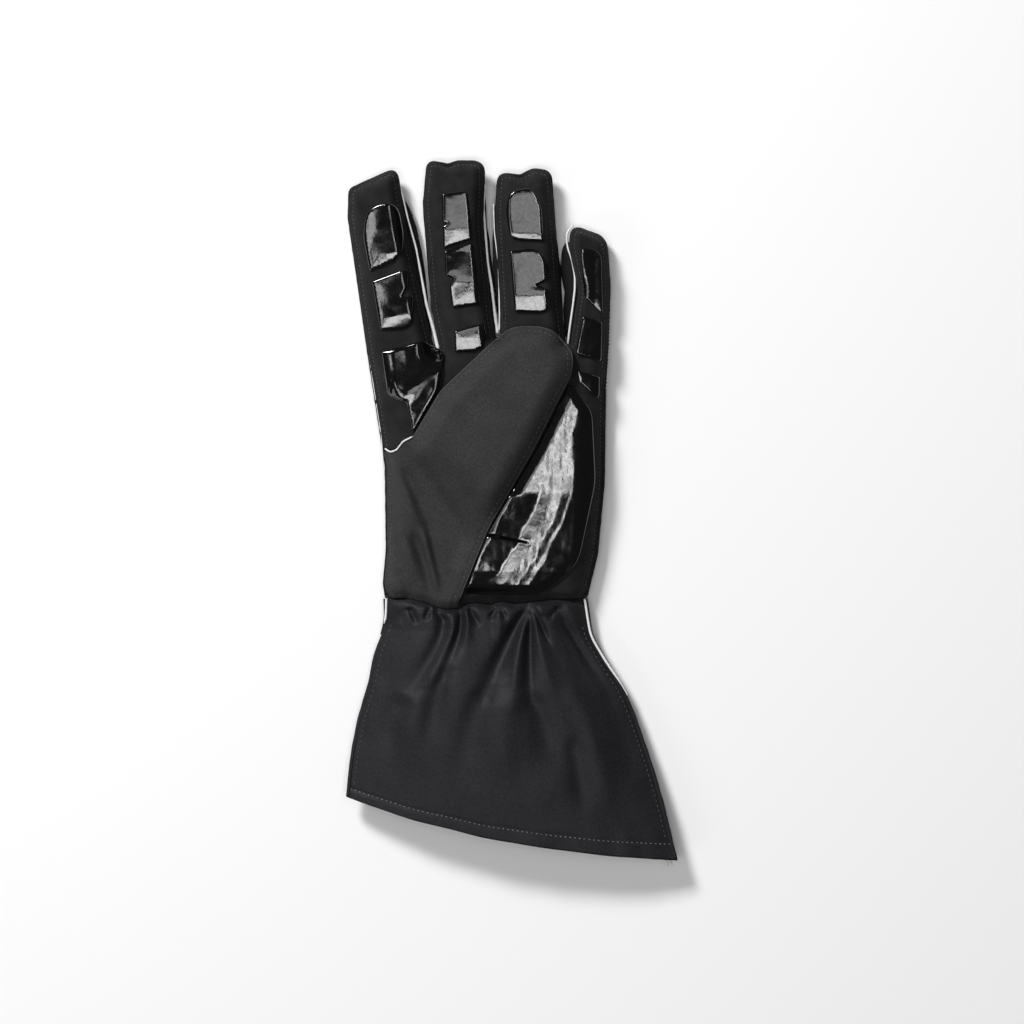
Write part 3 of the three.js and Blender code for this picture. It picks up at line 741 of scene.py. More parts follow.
@dataclass
class Finishes:
    """All the finishes of the glove, each built once."""

    suede: Material = built(Suede())
    stretch: Material = built(Weave("stretch_cloth", (0.021, 0.021, 0.022), (0.042, 0.042, 0.044)))
    satin: Material = built(Weave(
        "cuff_cloth", (0.0054, 0.0051, 0.0063), (0.0176, 0.0166, 0.0198),
        roughness=0.56, shine=0.18, sheen=0.04, rib_mm=0.6, rib_depth_mm=0.06, turn=0.7,
    ))
    welt: Material = built(Weave(
        "welt_cloth", (0.005, 0.005, 0.0054), (0.010, 0.010, 0.0105),
        roughness=0.75, shine=0.15, sheen=0.02, rib_depth_mm=0.06, turn=0.2,
    ))
    # Lighter cloth for the thumb's cut edge: the edge is real, its light grey is a painted highlight.
    cut: Material = built(Weave("cut_edge_painted_highlight", (0.03, 0.03, 0.031), (0.09, 0.09, 0.093), rib_depth_mm=0.03))
    silicone: Material = built(Silicone())
    white: Material = built(Cord("white_piping", (0.62, 0.62, 0.61), (0.86, 0.86, 0.85)))
    pale_thread: Material = built(Cord("pale_thread", (0.09, 0.09, 0.092), (0.34, 0.34, 0.345)))
    thread: Material = built(Cord("black_thread", (0.02, 0.02, 0.021), (0.10, 0.10, 0.104)))


class FoldLine(NamedTuple):
    """A fold in cloth: three places along it, its height, its half width and how it spreads.

    It is a ridge if its height is above 0, and a valley if it is below.
    """

    x0: float
    y0: float
    x1: float
    y1: float
    x2: float
    y2: float
    height: float
    width: float
    spread: float = 0.0


def fold_lines(*rows: tuple[float, ...]) -> tuple[FoldLine, ...]:
    """Makes folds from rows of their values."""
    return tuple(FoldLine(*row) for row in rows)


def folded(folds: tuple[FoldLine, ...], x: Array, y: Array) -> Array:
    """The height that folds add to cloth.

    Args:
        folds: the folds.
        x: the places' x.
        y: the places' y.

    Returns:
        The height at each place.
    """
    total = np.zeros(np.shape(x))
    for f in folds:
        t = np.linspace(0, 1, 13)[:, None]
        ends = np.array([[f.x0, f.y0], [f.x1, f.y1], [f.x2, f.y2]])
        control = 2 * ends[1] - (ends[0] + ends[2]) / 2
        line = (1 - t) ** 2 * ends[0] + 2 * t * (1 - t) * control + t * t * ends[2]
        away = away_from(line, x, y)
        length = np.linalg.norm(ends[2] - ends[0])
        along = ((x - f.x0) * (f.x2 - f.x0) + (y - f.y0) * (f.y2 - f.y0)) / length**2
        fade = smooth(-0.12, 0.15, along) * (1 - smooth(0.55, 1.1 + 0.2 * f.spread, along))
        width = f.width * (1 + f.spread * (np.clip(along, 0, 1.2) - 0.5))
        total += f.height * np.exp(-((away / width) ** 2)) * fade
    return total


class Bend(NamedTuple):
    """A place where a finger bows up: from its foot over its crest to its far foot, and how high."""

    finger: Finger
    foot: float
    crest: float
    end: float
    height: float


@dataclass
class HandForm:
    """The lying hand's shape: its seam line and the heights of its panels."""

    wrist_y: float = -47.0
    seam_z: float = 5.0
    finger_seam_z: float = 3.3
    root_y: float = 55.0
    shape_y: float = 85.0
    gap: float = 0.3
    cloth: float = 1.8
    tip_lift: float = 5.0
    curl_start: float = 70.0
    curl_end: float = 175.0
    bend_blur: float = 1.2
    index_tilt: float = 0.12
    index_axis: tuple[float, float, float] = (-58.5, 0.16, 85.0)
    little_tilt: float = 0.22
    little_axis: float = 39.5
    thumb_side: tuple[Corner, ...] = outline(
        (-63, -47), (-64.5, -36, 12), (-63, -20, 20), (-63.5, 22, 40), (-72.5, 80, 60),
    )
    index: tuple[Corner, ...] = outline(
        (-82, 146, 30), (-81.5, 160.5, 4), (-57.2, 171.5, 5), (-52.5, 141, 40), (-43.8, 101, 40),
        (-38.5, 79.3, 0.6),
    )
    middle: tuple[Corner, ...] = outline(
        (-36, 79.5, 0.6), (-40.2, 100, 30), (-44.6, 152, 50), (-42.5, 175, 9), (-32, 172.9, 3),
        (-27, 174.5, 5), (-13.2, 174.4, 8), (-14.2, 142, 60), (-10, 98, 60), (-8.1, 86.4, 0.6),
    )
    ring: tuple[Corner, ...] = outline(
        (-6.1, 86.6, 0.6), (-5.8, 98, 30), (-8.6, 148, 60), (-7.4, 168.8, 9), (4, 167.5, 4),
        (10.5, 170.8, 6), (19.8, 169.4, 9), (21.8, 142, 60), (24.4, 106, 60), (26.9, 82.8, 0.6),
    )
    little: tuple[Corner, ...] = outline(
        (28.9, 83, 0.6), (33, 110, 14), (28.2, 131, 14), (29.4, 142.6, 5), (47.4, 136.6, 10),
        (49.3, 112, 60), (48.5, 84, 60),
    )
    little_side: tuple[Corner, ...] = outline(
        (46.9, 60, 60), (46.3, 14, 60), (42.9, -22, 40), (36.7, -47),
    )
    thumb_edge: tuple[Corner, ...] = outline(
        (-63.9, 29.6, 1), (-57.2, 29.4, 3), (-53.6, 34, 3), (-49.6, 36, 3),
    )
    thumb_free: tuple[Corner, ...] = outline(
        (-35.5, 59.5, 14), (-1.5, 91.6, 20), (18.8, 91.4, 20), (30.6, 80, 20), (29.8, 68, 20),
        (10.4, 29.6, 80), (-11.6, -8.8, 60),
    )
    thumb_hole: tuple[Corner, ...] = outline(
        (-48.9, 36.4, 1), (-34, 20, 12), (-15, -12, 14), (-31, -47),
    )
    thumb_corner: Corner = Corner(-27, -47)
    levels: tuple[float, ...] = (-47, -30, 10, 50, 85, 140, 175)
    rises: tuple[float, ...] = (7, 9.5, 11, 10, 10.7, 9.8, 7.7)
    reaches: tuple[float, ...] = (9, 12, 15, 14, 8, 7.5, 7)
    thumb_root: tuple[float, float] = (-36.0, 2.0)
    thumb_way: tuple[float, float] = (0.6, 0.8)
    loose_from: float = 28.0
    thumb_crown: float = 8.5
    thumb_reach: float = 11.0
    climb_band: float = 9.0
    climb_low: float = 2.7
    climb_more: float = 1.5
    borders: tuple[tuple[float, float, float], ...] = ((-37.2, 0.24, 80), (-7.2, 0.07, 86), (27.9, 0.05, 83))
    little_rise: float = 8.8
    little_reach: float = 5.0
    slim_between: tuple[float, float] = (72.0, 100.0)
    bends: tuple[Bend, ...] = (
        Bend(Finger.INDEX, 119, 128, 150, 0.7), Bend(Finger.INDEX, 89, 97, 116, 0.8),
        Bend(Finger.MIDDLE, 130, 143.5, 178, 0.85), Bend(Finger.MIDDLE, 100.5, 115, 130, 1.25),
        Bend(Finger.MIDDLE, 77, 92, 100.5, 1.5), Bend(Finger.RING, 133, 138, 160, 0.35),
        Bend(Finger.RING, 98, 108, 130, 0.9),
    )

    def __post_init__(self) -> None:
        """Lays out the lines that the heights are measured from."""
        fingers = [*self.index, *self.middle, *self.ring, *self.little]
        self.corners = [*self.thumb_side, *fingers, *self.little_side]
        self.seam = rounded(self.corners, False, 1.2)
        self.hole = rounded(self.thumb_hole, False, 2)
        self.free = rounded([self.thumb_edge[3], *self.thumb_free, self.thumb_corner], False, 1.2)

    def lift(self, y: Array) -> Array:
        """How far the fingers curl up off the surface."""
        return self.tip_lift * np.clip((y - self.curl_start) / (self.curl_end - self.curl_start), 0, 1) ** 2

    def seam_height(self, y: Array) -> Array:
        """The height of the seam between palm and back."""
        share = smooth(self.root_y, self.shape_y, y)
        return self.lift(y) + self.seam_z + (self.finger_seam_z - self.seam_z) * share

    def finger_at(self, x: Array, y: Array) -> Array:
        """The number of the finger that each place is on, or in line with."""
        return sum((x > at - lean * (y - level)).astype(int) for at, lean, level in self.borders)

    def pose(self, x: Array, y: Array) -> Array:
        """What the fingers' bends and sideways tilts add to the height.

        Args:
            x: the places' x.
            y: the places' y.

        Returns:
            The height to add at each place.
        """
        finger = self.finger_at(x, y)
        total = np.zeros(np.shape(x))
        for bend in self.bends:
            tent = np.zeros(np.shape(y))
            for shift in (-self.bend_blur, 0, self.bend_blur):
                up = (y + shift - bend.foot) / (bend.crest - bend.foot)
                down = (bend.end - y - shift) / (bend.end - bend.crest)
                tent = tent + np.clip(np.minimum(up, down), 0, 1) / 3
            total += np.where(finger == bend.finger.value, bend.height * tent, 0)
        at, lean, level = self.index_axis
        index = self.index_tilt * (x - at + lean * (y - level)) * smooth(80, 100, y)
        little = self.little_tilt * (self.little_axis - x) * smooth(83, 98, y)
        total += np.where(finger == Finger.INDEX.value, index, 0)
        return total + np.where(finger == Finger.LITTLE.value, little, 0)

    def palm(self, x: Array, y: Array) -> Array:
        """The upper face of the palm, without its fine detail.

        Args:
            x: the places' x.
            y: the places' y.

        Returns:
            The height at each place.
        """
        slim = np.where(self.finger_at(x, y) == Finger.LITTLE.value, smooth(*self.slim_between, y), 0)
        rise = (1 - slim) * np.interp(y, self.levels, self.rises) + slim * self.little_rise
        reach = (1 - slim) * np.interp(y, self.levels, self.reaches) + slim * self.little_reach
        inside = dome(away_from(self.seam, x, y) / reach)
        return self.seam_height(y) + self.gap / 2 + self.cloth + (rise + self.pose(x, y)) * inside

    def over_palm(self, x: Array, y: Array) -> Array:
        """How far each place lies over the palm panel from the line where the thumb opens out of it."""
        away = away_from(self.hole, x, y)
        loop = np.vstack([self.hole, [[60, -48], [60, 200], [self.hole[0, 0], 200]]])
        return np.where(within(loop, x, y), away, -away)

    def thumb_freedom(self, x: Array, y: Array) -> Array:
        """How free of the palm the thumb is: 0 at its root, 1 where it lies loose."""
        (root_x, root_y), (way_x, way_y) = self.thumb_root, self.thumb_way
        return smooth(0, self.loose_from, (x - root_x) * way_x + (y - root_y) * way_y)

    def thumb(self, x: Array, y: Array) -> Array:
        """The upper face of the thumb panel, without its fine detail.

        Args:
            x: the places' x.
            y: the places' y.

        Returns:
            The height at each place.
        """
        over = smooth(-self.climb_band, 0, self.over_palm(x, y))
        climb = self.climb_low + self.climb_more * smooth(-30, -8, y)
        crown = self.thumb_crown * dome(away_from(self.free, x, y) / self.thumb_reach)
        return self.palm(x, y) + over * climb + self.thumb_freedom(x, y) * (1 + crown)


WRIST_X = (
    -66, -62.5, -53.6, -43.3, -35, -27.5, -22.7, -17.2,
    -10.4, -4.9, 1.3, 7.4, 14, 18.8, 33.9, 40,
)
WRIST_Y = (
    -44, -43.9, -43.5, -45.9, -49, -48.7, -46.6, -45.9,
    -47, -45.2, -46.6, -45.9, -44.9, -44.2, -43.9, -44,
)


def wrist_line(x: Array) -> Array:
    """The wavy seam between hand and cuff: its y for each x."""
    return np.interp(x, WRIST_X, WRIST_Y)


def wrist_dip(x: Array, y: Array) -> Array:
    """How far the hand's panels sink into the wrist seam."""
    return -2.6 * bump(np.maximum(y - wrist_line(x), 0), 2.6)


def to_wrist(loop: Array, low: float) -> Array:
    """Ends a panel's outline on the wavy wrist seam.

    Args:
        loop: the outline.
        low: the level of its straight lower edge.

    Returns:
        The outline with its lower edge on the seam.
    """
    line = wrist_line(loop[:, 0]) + 0.1
    moved = loop.copy()
    at_edge = (loop[:, 1] < low + 0.4) | (loop[:, 1] < line)
    moved[at_edge, 1] = line[at_edge]
    return moved


class Dent(NamedTuple):
    """A soft dent or, if its depth is negative, a swelling."""

    x: float
    y: float
    depth: float
    wide: float
    long: float


@dataclass
class PalmPanel:
    """The palm and the palm side of the fingers, with the rolled welt round its edge and its stitches."""

    form: HandForm
    finishes: Finishes
    spacing: float = 1.15
    welt_radius: float = 1.15
    welt_rise: float = 1.5
    groove_at: float = 2.6
    groove_depth: float = 0.9
    groove_width: float = 0.9
    edge_drop: float = 0.5
    edge_width: float = 2.5
    fewest_points: int = 6
    lowest: float = -40.0
    dents: tuple[Dent, ...] = (
        Dent(-32, 171.5, 2.0, 3.5, 5), Dent(-29, 166, 1.4, 9, 4), Dent(4, 166.5, 1.8, 4, 4.5),
        Dent(9, 163.5, 1.2, 8, 3.5), Dent(-75, 158, 0.5, 6, 5), Dent(38, 131, 0.5, 4, 5),
        Dent(40, -20, 0.8, 6, 22), Dent(44, 30, 0.6, 4, 30),
    )
    folds: tuple[FoldLine, ...] = fold_lines(
        (-42, 98, -34, 96, -16, 98.5, -0.35, 0.9), (-8, 99, 4, 98, 16, 97, -0.3, 0.8),
        (-2, 113.5, 10, 113.5, 21, 114, -0.35, 0.9), (-76, 101, -62, 97, -48, 99, -0.3, 1.1),
        (-60, 60, -52, 48, -53, 36, 0.9, 3.5), (-66, 52, -60, 44, -58, 33, -0.8, 3.0),
        (-44, 66, -38, 60, -50, 38, -1.2, 3.2), (44, 72, 41, 66, 33, 64, -0.4, 1.2),
    )

    def top(self, x: Array, y: Array) -> Array:
        """The height of the upper face.

        Args:
            x: the places' x.
            y: the places' y.

        Returns:
            The height at each place.
        """
        away = away_from(self.form.seam, x, y)
        z = self.form.palm(x, y) - self.groove_depth * bump(away - self.groove_at, self.groove_width)
        z = z - self.edge_drop * (1 - smooth(0, self.edge_width, away))
        for d in self.dents:
            z = z - d.depth * np.exp(-(((x - d.x) / d.wide) ** 2) - ((y - d.y) / d.long) ** 2)
        calm = smooth(1.5, 7, away)
        ripple = 0.22 * waves(x, y, 26, 3) + 0.07 * waves(x, y, 9, 4)
        return z + (folded(self.folds, x, y) + ripple) * calm + wrist_dip(x, y)

    def build(self) -> list[Piece]:
        """Builds the panel, its welt and its stitches."""
        edge = [c._replace(y=c.y + 0.5) for c in reversed(self.form.thumb_edge)]
        corners = [*self.form.corners[4:], *reversed(self.form.thumb_hole), *edge]
        loop = to_wrist(rounded(corners, True, 1.3), self.form.wrist_y)
        panel = cloth_over("palm_suede_panel", loop, self.top, 1.5, self.spacing, self.finishes.suede)
        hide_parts("palm_panel")
        return [panel, self.welt(), self.stitches()]

    def welt(self) -> Piece:
        """Builds the rolled edge that runs round the fingers."""
        line = offset(self.form.seam, self.welt_radius * 0.95)
        line = line[line[:, 1] > wrist_line(line[:, 0]) + 0.8]
        x, y = line[:, 0], line[:, 1]
        z = self.form.seam_height(y) + self.welt_rise + 0.12 * waves(x, y, 8, 8)
        radius = self.welt_radius * (1 + 0.08 * waves(x, y, 6, 9))
        piece = tube("hand_welt", np.column_stack([line, z]), radius, self.finishes.welt, 12, flat=1.15)
        return piece

    def stitches(self) -> Piece:
        """Builds the stitches in the groove inside the welt."""
        line = offset(self.form.seam, self.groove_at)
        near = away_from(self.form.seam, line[:, 0], line[:, 1]) > self.groove_at - 0.25
        line = line[near & (line[:, 1] > self.lowest)]
        jumps = np.linalg.norm(np.diff(line, axis=0), axis=1) > 5
        rows = []
        for k, part in enumerate(np.split(line, np.nonzero(jumps)[0] + 1)):
            if len(part) >= self.fewest_points:
                path = np.column_stack([part, self.top(part[:, 0], part[:, 1]) + 0.1])
                rows.append(StitchRow(pitch=2.1, length=1.3, radius=0.17, seed=k + 11).mesh(path))
        row = add_mesh("hand_stitches", *joined(rows), self.finishes.thread)
        return row


@dataclass
class ThumbPanel:
    """The back of the thumb, folded over the palm, with the soft folds at its root and its stitched edge."""

    form: HandForm
    finishes: Finishes
    spacing: float = 1.15
    edge_band: float = 2.5
    lowest: float = -44.0
    folds: tuple[FoldLine, ...] = fold_lines(
        (-60.5, 30, -50.5, 3, -42.5, -16, 2.6, 3.6, 0.3), (-44, -10, -40.6, -26, -35, -46, 2.2, 2.2),
        (-54, 20, -45.5, 2, -40.5, -12, -2.4, 3.0, 0.3), (-42, -6, -38.5, -21, -34, -40, -2.2, 2.3),
        (-58, -6, -52.5, -17, -47.5, -33, 2.0, 2.2), (-49, -12, -43.8, -25.8, -40, -43, -2.6, 2.4),
        (-59, -14, -56, -22, -52, -34, -2.2, 2.6), (-56, -30, -52, -38, -48, -47, -1.4, 3.0),
        (-31, -30, -29, -38, -27.5, -46, -1.0, 2.2), (-62, 18, -60, 4, -59, -10, -1.2, 2.8),
    )

    def top(self, x: Array, y: Array) -> Array:
        """The height of the upper face.

        Args:
            x: the places' x.
            y: the places' y.

        Returns:
            The height at each place.
        """
        free = away_from(self.form.free, x, y)
        side = away_from(self.form.seam, x, y)
        z = self.form.thumb(x, y)
        z = z - 0.5 * bump(free - self.edge_band, 0.6) - 0.35 * (1 - smooth(0, 1.2, free))
        z = z - 0.9 * bump(side - 2.6, 0.9) - 0.5 * (1 - smooth(0, 2.5, side))
        calm = smooth(1.5, 8, np.minimum(side, free))
        ripple = 0.3 * waves(x, y, 34, 5) + 0.06 * waves(x, y, 8, 6)
        return z + (folded(self.folds, x, y) + ripple) * calm + wrist_dip(x, y)

    def build(self) -> list[Piece]:
        """Builds the panel, its lining on the palm side, its edge stitches and its white sewn edge."""
        form = self.form
        corners = [*form.thumb_side[:4], *form.thumb_edge, *form.thumb_free, form.thumb_corner]
        loop = to_wrist(rounded(corners, True, 1.2), form.wrist_y)
        panel = cloth_over("thumb_back_panel", loop, self.top, 1.3, self.spacing, self.finishes.stretch)
        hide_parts("thumb_panel")
        return [panel, self.inner(), self.painted_highlight_edge(), self.stitches(), self.white_edge()]

    def inner(self) -> Piece:
        """Builds the thumb's palm side, which lies on the palm."""
        form = self.form
        first, *others = form.thumb_hole[:3]
        hole = [first._replace(x=first.x + 1.2, y=first.y + 0.6), *others]
        loop = rounded([*hole, *reversed(form.thumb_free[:6])], True, 1.5)
        piece = cloth_over("thumb_palm_side", loop, self.inner_top, 1.1, 2.0, self.finishes.suede)
        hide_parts("thumb_inner_panel")
        return piece

    def inner_top(self, x: Array, y: Array) -> Array:
        """The height of the palm side's upper face.

        Args:
            x: the places' x.
            y: the places' y.

        Returns:
            The height at each place.
        """
        edge = 1 - dome(away_from(self.form.free, x, y) / 5)
        return self.form.palm(x, y) + 2.1 + 0.8 * self.form.thumb_freedom(x, y) * edge

    def edge_path(self, inset: float, rise: float) -> Array:
        """A line beside the thumb's free edge.

        Args:
            inset: how far inside the edge it runs.
            rise: how far above the panel it lies.

        Returns:
            Its points in space.
        """
        line = offset(self.form.free, inset)
        clear = away_from(self.form.seam, line[:, 0], line[:, 1]) > 3
        line = line[clear & (line[:, 1] > self.lowest)]
        return np.column_stack([line, self.top(line[:, 0], line[:, 1]) + rise])

    def painted_highlight_edge(self) -> Piece:
        """Builds the thin cut edge of the thumb; its lighter grey is a painted highlight where light catches
        the edge.
        """
        # The edge's light grey is a painted highlight along the thumb's free edge.
        piece = tube("thumb_cut_edge_painted_highlight", self.edge_path(0.3, -0.1), 0.34, self.finishes.cut, 8)
        return piece

    def stitches(self) -> Piece:
        """Builds the stitch row along the thumb's edge."""
        stitches = StitchRow(pitch=2.7, length=1.5, radius=0.2, seed=5)
        row = stitches.sew("thumb_stitches", self.edge_path(self.edge_band, 0.12), self.finishes.thread)
        return row

    def white_edge(self) -> Piece:
        """Builds the thin white edge where the panel is sewn to the palm."""
        corners = outline((-63.2, 30.8), (-60.6, 28.9, 3), (-57.3, 30.2, 3), (-54, 34.3, 3), (-49.4, 36.6))
        line = rounded(corners, False, 0.8)
        z = self.top(line[:, 0], line[:, 1]) + 0.35
        piece = tube("thumb_white_edge", np.column_stack([line, z]), 0.42, self.finishes.white, 8)
        return piece


@dataclass
class BackPanel:
    """The back of the hand, on which the glove lies, finished plainly."""

    form: HandForm
    finishes: Finishes
    inset: float = 1.4
    reach: float = 9.0
    finger_reach: float = 5.0
    wrist_rise: float = 1.4
    wrist_band: float = 14.0

    def top(self, x: Array, y: Array) -> Array:
        """The height of the inner face.

        Args:
            x: the places' x.
            y: the places' y.

        Returns:
            The height at each place.
        """
        form = self.form
        high = form.seam_height(y) - form.lift(y) - form.gap / 2
        reach = self.reach + (self.finger_reach - self.reach) * smooth(55, 85, y)
        away = np.maximum(away_from(form.seam, x, y) - self.inset, 0)
        raised = self.wrist_rise * (1 - smooth(form.wrist_y, form.wrist_y + self.wrist_band, y))
        return form.lift(y) + high - (high - form.cloth - raised) * dome(away / reach)

    def build(self) -> list[Piece]:
        """Builds the panel."""
        loop = rounded(self.form.corners, True, 1.5)
        loop = offset(loop, self.inset, True)
        loop[:, 1] = np.maximum(loop[:, 1], self.form.wrist_y)
        panel = cloth_over("hand_back_panel", loop, self.top, 1.7, 2.0, self.finishes.stretch)
        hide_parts("back_panel")
        return [panel]


class WallSide(NamedTuple):
    """Half of a strip between two fingers: its upper end, how far it leans out, where most, how sharply."""

    finger: tuple[Corner, ...]
    top: float
    lean: float
    peak: float
    sharp: float = 1.5


class WallPlan(NamedTuple):
    """A strip between two fingers: its name, its node and its two halves."""

    name: str
    node: str
    left: WallSide
    right: WallSide


def finger_edge(finger: tuple[Corner, ...], side: Side, high: float, low: float) -> Array:
    """The stretch of a finger's edge between two levels, from the upper one down.

    Args:
        finger: the finger's corners.
        side: the side of the finger.
        high: the upper level.
        low: the lower level.

    Returns:
        The points of the edge.
    """
    line = rounded(finger, False, 0.9)
    top = int(line[:, 1].argmax())
    part = line[top:] if side is Side.RIGHT else line[:top][::-1]
    return part[(part[:, 1] < high) & (part[:, 1] > low)]


@dataclass
class SideWalls:
    """The cloth strips that line the sides of the fingers."""

    form: HandForm
    finishes: Finishes
    thickness: float = 0.9
    foot: float = 0.8
    above_seam: float = 0.4
    inset: float = 0.7
    ripple: float = 0.2
    layers: int = 9

    def plans(self) -> list[WallPlan]:
        """The three strips."""
        f = self.form
        return [
            WallPlan(
                "side_wall_index_middle", "fourchette_index_middle",
                WallSide(f.index, 161, 5.6, 0.72, 1.1), WallSide(f.middle, 163, 0.8, 0.5),
            ),
            WallPlan(
                "side_wall_middle_ring", "fourchette_middle_ring",
                WallSide(f.middle, 163, 3.2, 0.42, 0.7), WallSide(f.ring, 157, 3.0, 0.42, 0.7),
            ),
            WallPlan(
                "side_wall_ring_little", "fourchette_ring_little",
                WallSide(f.ring, 150, 1.6, 0.5), WallSide(f.little, 135, 7.4, 0.6, 0.5),
            ),
        ]

    def build(self) -> list[Piece]:
        """Builds the strips."""
        return [self.strip(plan) for plan in self.plans()]

    def lean(self, half: WallSide, y: Array) -> Array:
        """How far one half leans out at each place along it."""
        t = (y - y.min()) / np.ptp(y)
        phase = np.where(t < half.peak, 0.5 * t / half.peak, 0.5 + 0.5 * (t - half.peak) / (1 - half.peak))
        return half.lean * np.maximum(np.sin(math.pi * phase), 0) ** half.sharp

    def strip(self, plan: WallPlan) -> Piece:
        """Builds one strip.

        Args:
            plan: where it runs.

        Returns:
            The strip.
        """
        down = finger_edge(plan.left.finger, Side.RIGHT, plan.left.top, 0)
        up = finger_edge(plan.right.finger, Side.LEFT, plan.right.top, 0)[::-1]
        line = np.vstack([down, up])
        leans = np.concatenate([self.lean(plan.left, down[:, 1]), self.lean(plan.right, up[:, 1])])
        outward = offset(line, -1.0) - line
        high = self.form.seam_height(line[:, 1]) + self.above_seam
        low = self.form.lift(line[:, 1]) + self.foot
        rows = []
        for t in np.linspace(0, 1, self.layers):
            bulge = math.sin(math.pi * min(t * 0.8, 0.5)) ** 1.2
            ripple = self.ripple * waves(line[:, 1], line[:, 0] + 9 * t, 12, 7)
            out = -self.inset + leans * bulge + ripple
            rows.append(np.column_stack([line + outward * out[:, None], high + (low - high) * t]))
        outer = np.array(rows)
        inner = outer.copy()
        inner[:, :, :2] -= (outward * self.thickness)[None]
        piece = grid_piece(plan.name, outer, inner, self.finishes.welt)
        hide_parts(plan.node)
        return piece


def grid_piece(name: str, outer: Array, inner: Array, material: Material) -> Piece:
    """Makes a closed sheet from two grids of points.

    Args:
        name: the piece's name.
        outer: rows of points of the outer face.
        inner: the same of the inner face.
        material: its finish.

    Returns:
        The piece.
    """
    rows, across = outer.shape[:2]
    index = np.arange(rows * across).reshape(rows, across)
    a, b, c, d = index[:-1, :-1], index[:-1, 1:], index[1:, 1:], index[1:, :-1]
    front = np.stack([a, d, c, b], axis=-1).reshape(-1, 4)
    half = rows * across
    back = front[:, ::-1] + half
    rim = np.concatenate([index[0], index[1:, -1], index[-1, -2::-1], index[-2:0:-1, 0]])
    after = np.roll(rim, -1)
    edge = np.stack([rim, after, after + half, rim + half], axis=-1)
    faces = np.vstack([front, back, edge])
    piece = add_mesh(name, np.vstack([outer.reshape(-1, 3), inner.reshape(-1, 3)]), faces, material)
    mesh = piece.data
    corners = [[mesh.vertices[v].co for v in p.vertices[:3]] for p in mesh.polygons]
    if sum(one.cross(two).dot(three) for one, two, three in corners) < 0:
        mesh.flip_normals()
    return piece


@dataclass
class Grip:
    """One moulded grip: its outline, its name, and how much its middle swells."""

    name: str
    corners: tuple[Corner, ...]
    crown: float = 0.12
    crown_reach: float = 5.0
    thickness: float = 0.9
    lift: float = 0.45
    spacing: float = 0.85
    ripple: float = 0.06
    seed: int = 1
    level_from: float = -200.0
    ease_from: float = 200.0
    ease: float = 0.25
    edge_width: float = 0.9
    edge_share: float = 0.25
    tilt: float = 0.0
    ridges: tuple[FoldLine, ...] = ()

    def build(self, palm: PalmPanel, finishes: Finishes) -> Piece:
        """Builds the grip on the palm.

        Args:
            palm: the panel that carries it.
            finishes: the glove's finishes.

        Returns:
            The grip.
        """
        loop = rounded(self.corners, True, 0.8)
        top = partial(self.top, palm.form, loop)
        name = self.name + "_moulded"
        piece = cloth_over(name, loop, top, 1.0, self.spacing, finishes.silicone, (0.2, 0.5, 0.85))
        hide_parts(self.name)
        return piece

    def top(self, form: HandForm, loop: Array, x: Array, y: Array) -> Array:
        """The height of the upper face.

        Args:
            form: the hand's shape.
            loop: the grip's outline.
            x: the places' x.
            y: the places' y.

        Returns:
            The height at each place.
        """
        away = away_from(loop, x, y, True)
        edge = np.sqrt(dome(away / self.edge_width))
        across = np.maximum(x, self.level_from) - self.ease * np.maximum(x - self.ease_from, 0)
        share = self.edge_share + (1 - self.edge_share) * edge
        z = form.palm(across, y) + self.lift + self.thickness * share
        z = z + self.swell(x, y, away) + self.tilt * (x - self.level_from)
        z = z + smooth(0.5, 3, away) * self.ripple * waves(x, y, 13, self.seed)
        return z + folded(self.ridges, x, y) * smooth(0, 1.5, away)

    def swell(self, x: Array, y: Array, away: Array) -> Array:
        """How far the middle swells up.

        Args:
            x: the places' x; not used here.
            y: the places' y; not used here.
            away: their distance from the edge.

        Returns:
            The height to add at each place.
        """
        return self.crown * dome(away / self.crown_reach)


